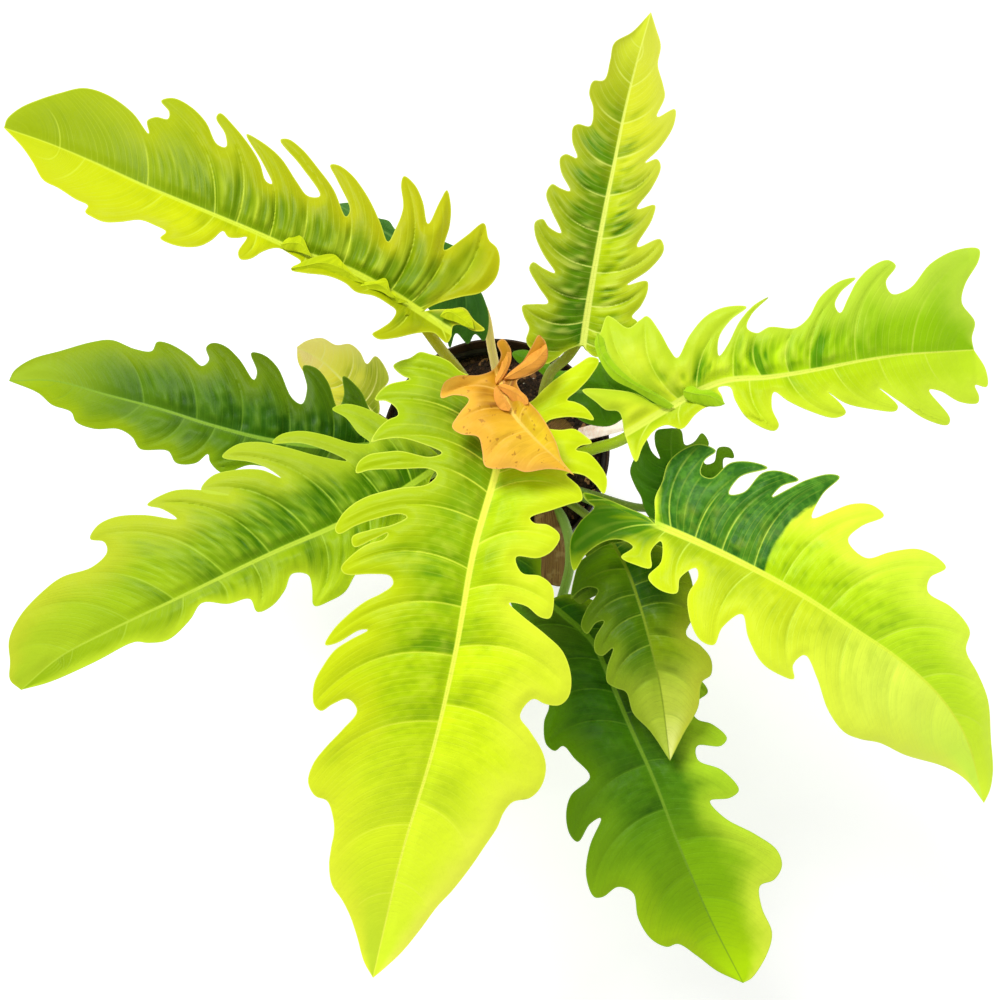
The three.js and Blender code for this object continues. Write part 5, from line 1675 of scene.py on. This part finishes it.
# Left dark leaf
# A dark green leaf out to the left, lower than the long ones on both sides of it, and pale at
# its tip and along its edges.
grow_leaf(
    name="left_dark",
    rib=(
        "395,442,306 330,447,320 270,440,328 214,426,330 160,409,327 107,395,318 54,381,306 "
        "9,381,292"
    ),
    left=(
        "392,452 375,464 350,474 315,476 280,470 250,465 234,470 222,473 210,462 208,454 196,463 "
        "176,463 168,451 140,449 132,437 118,429 95,429 76,422 71,412 52,405 38,393"
    ),
    right=(
        "392,432 380,424 370,410 360,390 343,376 344,395 338,408 328,382 316,368 303,366 307,388 "
        "302,404 292,398 278,368 264,355 251,353 257,372 254,380 240,360 225,346 212,343 206,348 "
        "209,360 202,366 190,356 170,344 157,342 152,351 135,349 112,340 92,342 60,351 32,359 "
        "14,371"
    ),
    left_veins=(
        "5 350,474; 16 300,475; 27 250,466; 38 214,464; 46 173,460; 54 135,446; 65.5 76,421; 83 "
        "44,399"
    ),
    right_veins=(
        "1 378,420; 8 345,378; 16 304,367; 27 252,354; 39.5 210,344; 51 158,342; 65 104,340; 81 "
        "45,355"
    ),
    rise=(0.06, 0.04),
    rise_right=(0.22, 0.12),
    sag=(0.3, 0.3),
    back=-0.1,
    leaves=(205, 172),
    guides="478,462,232 430,450,280",
    width=(9.5, 7.5),
    pleat=0.12, midrib=1.9, wave=0.6, pucker=(0.4, 0.7), stretch=0.2,
    marks="320,420,40,0.5",
    blade_skin=dict(
        left=(paint(84, 88, 24), paint(82, 122, 6), paint(100, 138, 4), paint(158, 186, 6)),
        right=(paint(32, 72, 6), paint(54, 102, 6), paint(84, 124, 6), paint(162, 190, 38)),
        lobes=((paint(104, 144, 6), paint(154, 180, 8)), (paint(80, 116, 6), paint(144, 168, 12))),
        shade=paint(34, 76, 0), shading=(0.5, 0.8),
        rib=paint(136, 176, 48), vein=paint(122, 162, 44), margin_line=paint(146, 184, 58),
        under=paint(120, 150, 64), vein_strength=0.45, edge_share=0.4,
    ),
    stalk_colours=(paint(96, 120, 40), paint(124, 148, 42), paint(110, 120, 46)),
)

# Old left leaf
# A small fading leaf, low on the left. It is straw yellow, cream at its tip and still green on
# one lobe.
grow_leaf(
    name="left_old",
    rib="378,420,262 360,399,274 340,378,282 318,358,286 297,347,284",
    left="366,424 350,421 338,414 330,400 318,386 305,374 298,362",
    right="380,408 379,394 389,380 382,362 375,356 367,364 360,352 350,344 336,345 322,338 306,341",
    left_veins="6 350,421; 22 330,400; 45 318,386; 72 305,374",
    right_veins="4 389,380; 20 375,356; 45 350,344; 75 322,338",
    rise=(0.12, 0.08),
    sag=(0.3, 0.3),
    back=0,
    leaves=(188, 166),
    guides="465,455,205 412,438,240",
    width=(8, 6),
    pleat=0.1, midrib=1.5, wave=0.7, pucker=(0.3, 0.3),
    marks="376,376,18,1.0 350,392,16,0.3",
    blade_skin=dict(
        left=(paint(224, 214, 66), paint(246, 234, 76), paint(246, 220, 154)),
        right=(paint(84, 120, 6), paint(238, 232, 84), paint(246, 226, 134)),
        lobes=((paint(230, 222, 78), paint(246, 230, 90)),
               (paint(180, 194, 44), paint(246, 232, 134))),
        shade=paint(140, 156, 20), shading=(0.4, 0.5),
        rib=paint(244, 240, 132), vein=paint(246, 240, 150), margin_line=paint(244, 232, 150),
        # Painted light, given off by the blade, keeps it bright in the shade of the leaves above.
        under=paint(206, 200, 104), vein_strength=0.9, painted_glow=0.3,
    ),
    stalk_colours=(paint(150, 150, 60), paint(196, 190, 84), paint(150, 130, 70)),
)

# Orange leaf
# A dying leaf that stands highest in the middle. It has turned orange, with brown specks, and
# its basal lobes have curled up.
grow_leaf(
    name="orange",
    rib="502,386,446 512,412,452 532,436,453 552,455,450 574,475,440",
    right=(
        "506,376 510,362 511,350 503,339 497,343 501,355 494,369 480,375 456,376 444,383 441,398 "
        "454,395 469,399 459,414 452,427 461,434 478,437 482,450 485,466 498,469 512,468 525,472 "
        "548,469 565,471"
    ),
    left=(
        "508,374 523,361 532,346 539,335 548,350 545,364 532,374 517,381 524,396 540,414 556,442 "
        "562,460"
    ),
    right_veins="2 503,339; 6 441,398; 22 453,428; 45 484,466; 70 525,472",
    left_veins="2 539,335; 10 548,350; 35 532,400; 65 556,442",
    rise=(0.1, 0.1),
    sag=(0.5, 0.4),
    back=0.5,
    leaves=(110, 212),
    guides="520,424,300 508,402,400",
    width=(8.5, 6.5),
    pleat=0.1, midrib=1.3, wave=1.0,
    marks="484,397,9,0.7 496,404,7,1.0 515,387,10,0.8 507,376,8,0.9 540,364,7,0.6 496,360,8,0.3",
    curls=(
        ("496,386,2 503,398,6 509,411,2", "500,391 504,396 507,401 511,408",
         "494,390 494,397 495.5,403 501,409.5"),
        ("504,379,1 520,370,5 534,362,6 547,348,2",
         "510,372 521,364 531,352 535,343 539,336 545,341", "514,379 526,375 539,368 547,359"),
        ("496,384,1 503,373,4 508,360,5 505,344,1", "495,379 499,371 502,360 500,350 499,342",
         "502,379 507,371 511,361 511,351 508,345"),
        ("498,386,2 507,389,5 517,394,5 528,404,2", "502,384 508,385 519,390 528,399",
         "502,391 507,395 512,401 520,406"),
    ),
    blade_skin=dict(
        left=(paint(202, 146, 14), paint(246, 210, 38), paint(254, 200, 64)),
        right=(paint(214, 154, 20), paint(246, 196, 52), paint(246, 184, 52)),
        lobes=((paint(218, 154, 40), paint(234, 190, 44)),
               (paint(242, 184, 60), paint(244, 182, 74))),
        shade=paint(148, 92, 18), shading=(0.3, 0.3), mottle=0.35,
        rib=paint(254, 210, 90), vein=paint(254, 206, 90), margin_line=paint(252, 190, 120),
        under=paint(240, 158, 66), vein_strength=0.4,
        specks=paint(150, 84, 30), speck_share=0.5,
    ),
    stalk_colours=(paint(176, 130, 50), paint(222, 160, 60), paint(160, 100, 40)),
)

# Inner right leaf
# A small dark leaf in the shade under the right one. It points to the back and has hooked lobes
# with a dull olive edge.
grow_leaf(
    name="inner_right",
    rib="682,512,322 676,486,334 672,462,338 671,443,337 672,428,333",
    left=(
        "668,515 655,521 645,511 641,497 635,486 630,471 634,459 641,448 646,439 652,452 660,459 "
        "655,444 656,431"
    ),
    right=(
        "698,506 714,494 723,476 724,458 734,458 730,448 718,448 714,462 705,464 704,452 709,444 "
        "702,433 694,442 685,445 681,430"
    ),
    left_veins="6 641,497; 25 630,471; 50 641,448; 75 655,444",
    right_veins="8 714,494; 28 730,448; 50 704,452; 75 702,433",
    rise=(0.1, 0.06),
    sag=(0.4, 0.5),
    back=0,
    leaves=(325, 180),
    guides="590,494,236 645,508,295",
    width=(8, 6.5),
    pleat=0.12, midrib=1.3, wave=0.6, pucker=(0.3, 0.3),
    blade_skin=dict(
        left=(paint(52, 104, 8), paint(64, 116, 12), paint(100, 140, 26)),
        right=(paint(52, 104, 8), paint(64, 118, 14), paint(106, 146, 28)),
        lobes=((paint(66, 118, 14), paint(84, 130, 24)), (paint(98, 144, 16), paint(118, 156, 26))),
        shade=paint(34, 80, 4), shading=(0.6, 0.6), mottle=0.35,
        rib=paint(112, 152, 50), vein=paint(100, 144, 48), margin_line=paint(124, 140, 50),
        under=paint(104, 138, 60), vein_strength=0.4, edge_share=0.4,
    ),
    stalk_colours=(paint(92, 116, 40), paint(112, 138, 42), paint(104, 114, 44)),
)

# Inner back leaf
# A bluish dark leaf under the upper left one. Its long tan stalk shows bright between the leaves,
# by painted light that it gives off itself.
grow_leaf(
    name="inner_back",
    rib="478,288,320 450,272,330 410,248,336 372,224,338 336,204,336",
    left=(
        "483,296 489,318 484,341 475,334 468,344 456,333 450,348 444,331 425,305 400,285 378,262 "
        "352,230 342,218"
    ),
    right="482,276 470,256 440,240 412,233 396,230 389,221 378,218 365,211 350,203",
    left_veins="3 484,341; 12 450,348; 30 425,305; 55 378,262; 80 352,230",
    right_veins="8 440,240; 35 396,230; 65 372,214",
    rise=(0.1, 0.06),
    sag=(0.3, 0.3),
    back=-0.2,
    leaves=(125, 188),
    guides="505,410,250 492,350,288 484,310,309",
    width=(8.5, 7),
    pleat=0.11, midrib=1.5, pucker=(0.3, 0.3),
    blade_skin=dict(
        left=(paint(50, 98, 34), paint(58, 108, 34), paint(66, 116, 36)),
        right=(paint(48, 96, 32), paint(56, 104, 32), paint(66, 116, 36)),
        lobes=((paint(62, 112, 34), paint(68, 118, 38)), (paint(62, 112, 34), paint(68, 118, 38))),
        shade=paint(32, 72, 24), shading=(0.6, 0.6), mottle=0.35,
        rib=paint(100, 142, 62), vein=paint(92, 138, 60), margin_line=paint(104, 144, 66),
        under=paint(92, 126, 72), vein_strength=0.4, edge_share=0.4,
    ),
    stalk_colours=(paint(240, 204, 160), paint(226, 206, 100), paint(240, 200, 160), 0.24),
)

# Inner centre leaf
# A small leaf behind the stem on the right, by the foot of the back leaf's stalk. It lies in deep
# shade, and little of it shows.
grow_leaf(
    name="inner_centre",
    rib="556,390,296 590,392,306 630,396,310 668,404,306",
    left="548,380 534,368 520,364 512,353 526,350 545,360 562,371 580,366 600,362 618,376 642,388",
    right="558,402 572,414 588,424 610,426 624,418 640,408",
    left_veins="5 512,353; 30 562,371; 62 600,362",
    right_veins="8 572,414; 40 610,426; 75 630,414",
    rise=(0.06, 0.06),
    sag=(0.2, 0.2),
    back=-0.1,
    leaves=(40, 186),
    guides="548,425,238",
    width=(8, 6.5),
    pleat=0.11, midrib=1.3, pucker=(0.3, 0.3),
    blade_skin=dict(
        left=(paint(84, 136, 10), paint(92, 146, 12), paint(104, 156, 18)),
        right=(paint(70, 118, 8), paint(80, 130, 10), paint(90, 140, 14)),
        lobes=((paint(100, 152, 14), paint(112, 162, 22)),
               (paint(84, 134, 12), paint(96, 146, 20))),
        shade=paint(30, 68, 2), shading=(0.6, 0.6), mottle=0.35,
        rib=paint(104, 146, 50), vein=paint(96, 140, 46), margin_line=paint(112, 150, 54),
        under=paint(92, 126, 60), vein_strength=0.4, edge_share=0.4,
    ),
    stalk_colours=(paint(90, 112, 38), paint(108, 132, 40), paint(100, 110, 42)),
)

# Dry sheaths
# Two papery brown scales that once wrapped young leaves. They have dried on the plant, ribbed
# lengthwise and curled over at the edges, and still hold to the foot of the stalks.
def make_sheath_skin():
    skin, start = new_skin("dry_papery_sheath")
    place = start.place()
    station, reach = start.read("station"), start.read("reach")
    fibre = start.vector(reach * 0.9, station * 1.6, 0.0).cloud(2.4, 5, 0.65)
    blotch = place.cloud(110, 4)
    brown = fibre.rising(0.3, 0.7).mix(paint(92, 60, 34), paint(178, 132, 84))
    colour = (blotch.rising(0.5, 0.7) * 0.5).mix(brown, paint(206, 168, 118))
    colour = (start.read("margin").falling(0.2, 1.2) * 0.5).mix(colour, paint(70, 44, 26))
    finish_skin(start, colour, 0.8 - 0.15 * fibre, fibre, 0.9, Specular_IOR_Level=0.25)
    return skin


sheath_skin = make_sheath_skin()
SHEATH_SLOPE = (-0.35, -0.1)
SHEATH_SAG = (1.5, 0.5)
SHEATH_RIBS = "10 540,500; 50 540,540; 90 540,570"
SHEATHS = {
    "front": dict(
        rib="537,470,192 542,495,206 546,525,217 549,555,214 548,584,200",
        left="529,480 532,500 535,525 537,555 535,578",
        right="548,476 556,498 563,520 569,546 568,570 561,586",
    ),
    "back": dict(
        rib="538,462,196 544,445,226 554,430,250 565,419,262",
        left="532,456 537,440 547,425 556,418",
        right="545,460 551,449 562,438 572,426",
    ),
}
for side, drawn in SHEATHS.items():
    sheath_rib = read_points(drawn["rib"])
    curve = Surface(sheath_rib, SHEATH_SLOPE, None, SHEATH_SAG, 0)
    sheath = make_blade(side + "_sheath", curve, sheath_rib, drawn["left"], drawn["right"],
                        SHEATH_RIBS, SHEATH_RIBS, sheath_skin, pleat=0.0, midrib=0.6, wave=0.6)
    settle(sheath, "dry_sheath", "dry_sheath_" + side)

# Plant label
# A bare white plastic stick, 13 mm wide, pushed slantwise into the soil. It is soiled where it
# leaves the ground, and it gives off a little painted light of its own, for the light that comes
# through it.
LABEL_WIDTH = 13
LABEL_THICKNESS = 1.2
LABEL_PAINTED_GLOW = 0.3
LABEL_FOOT = sight(568, 438, 138)
LABEL_HEAD = sight(646, 418, 218)
LABEL_CORNER = 2.5
LABEL_POINT = 14
LABEL_POINT_HALF = 0.6


def make_label_skin():
    skin, start = new_skin("soiled_white_plastic")
    place = start.place()
    low = place.part(2).falling(SOIL_TOP * METRES, (SOIL_TOP + 35) * METRES)
    dirt = place.cloud(140, 5, 0.65)
    film = (dirt.rising(0.42, 0.7) * 0.25 + low * dirt.rising(0.3, 0.6) * 0.6).least(1)
    specks = place.cloud(900, 2).rising(0.66, 0.7) * 0.7
    colour = film.mix(paint(252, 238, 226), paint(206, 168, 136))
    colour = specks.mix(colour, paint(92, 62, 40))
    # A little painted light that the label gives off itself.
    finish_skin(start, colour, 0.45 + 0.3 * film, dirt, 0.15, Emission_Color=colour,
                Emission_Strength=LABEL_PAINTED_GLOW)
    return skin


def slab(name, corners, thickness, frame_of, skin):
    """A flat plate with rounded long edges. corners run round it, and frame_of turns each
    (along, across, up) into its place."""
    count = len(corners)
    inset, half = 0.3, thickness / 2
    middle = np.mean(corners, axis=0)
    layers = [(inset, -half), (0, -half + inset), (0, half - inset), (inset, half)]
    points = []
    for shrink, up in layers:
        for corner in corners:
            inward = middle - corner
            along, across = corner + shrink * inward / np.linalg.norm(inward)
            points.append(frame_of(along, across, up))
    faces = [tuple(range(count - 1, -1, -1)), tuple(range(3 * count, 4 * count))]
    for layer in range(3):
        for side in range(count):
            a, b = layer * count + side, layer * count + (side + 1) % count
            faces.append((a, b, b + count, a + count))
    return add_piece(name, points, faces, skin, 60)


def make_label():
    length = np.linalg.norm(LABEL_HEAD - LABEL_FOOT)
    along = (LABEL_HEAD - LABEL_FOOT) / length
    across = np.cross([0, 0, 1], along)
    across /= np.linalg.norm(across)
    face = np.cross(along, across)
    half, corner = LABEL_WIDTH / 2, LABEL_CORNER
    outline = [(0, -LABEL_POINT_HALF), (LABEL_POINT, -half), (length - corner, -half)]
    for angle in np.linspace(-math.pi / 2, 0, 6)[1:]:
        outline.append((length - corner + corner * math.cos(angle),
                        -half + corner + corner * math.sin(angle)))
    outline += [(a, -b) for a, b in outline[::-1]]
    return slab("plain_label", np.array(outline), LABEL_THICKNESS,
                lambda a, b, c: LABEL_FOOT + a * along + b * across + c * face,
                make_label_skin())


settle(make_label(), "label", "plant_label")

# Floor and light
# A plain pale floor under the pot, lit from inside like a light table so that shadows stay soft,
# a bright overcast sky, and a veiled sun behind the plant on the left.
FLOOR_SPAN = 9000
FLOOR_HEIGHT = -0.3
FLOOR_GLOW = 0.62
SUN_FROM = Vector((-0.4, 0.5, 1.0))
SUN_WIDTH = math.radians(24)
SUN_STRENGTH = 2.4
SKY_STRENGTH = 0.55


def make_floor():
    skin, start = new_skin("pale_floor")
    grain = start.place().cloud(6, 4)
    colour = grain.mix(paint(200, 200, 199), paint(204, 204, 203))
    finish_skin(start, colour, 0.8 + 0.05 * grain, grain, 0.01, Specular_IOR_Level=0.2,
                Emission_Strength=FLOOR_GLOW, Emission_Color=(1, 1, 1, 1))
    half = FLOOR_SPAN / 2
    corners = [(x * half, y * half, FLOOR_HEIGHT) for x, y in ((-1, -1), (1, -1), (1, 1), (-1, 1))]
    return add_piece("pale_floor", corners, [(0, 1, 2, 3)], skin)


make_floor()
veiled_sun = bpy.data.lights.new("veiled_sun", "SUN")
veiled_sun.angle = SUN_WIDTH
veiled_sun.energy = SUN_STRENGTH
sun_place = bpy.data.objects.new("veiled_sun", veiled_sun)
sun_place.rotation_euler = (-SUN_FROM).to_track_quat("-Z", "Y").to_euler()
bpy.context.scene.collection.objects.link(sun_place)
sky = bpy.data.worlds.new("overcast")
sky.use_nodes = True
sky.node_tree.nodes["Background"].inputs["Color"].default_value = (1, 1, 1, 1)
sky.node_tree.nodes["Background"].inputs["Strength"].default_value = SKY_STRENGTH
bpy.context.scene.world = sky
bpy.context.scene.view_settings.view_transform = "Standard"
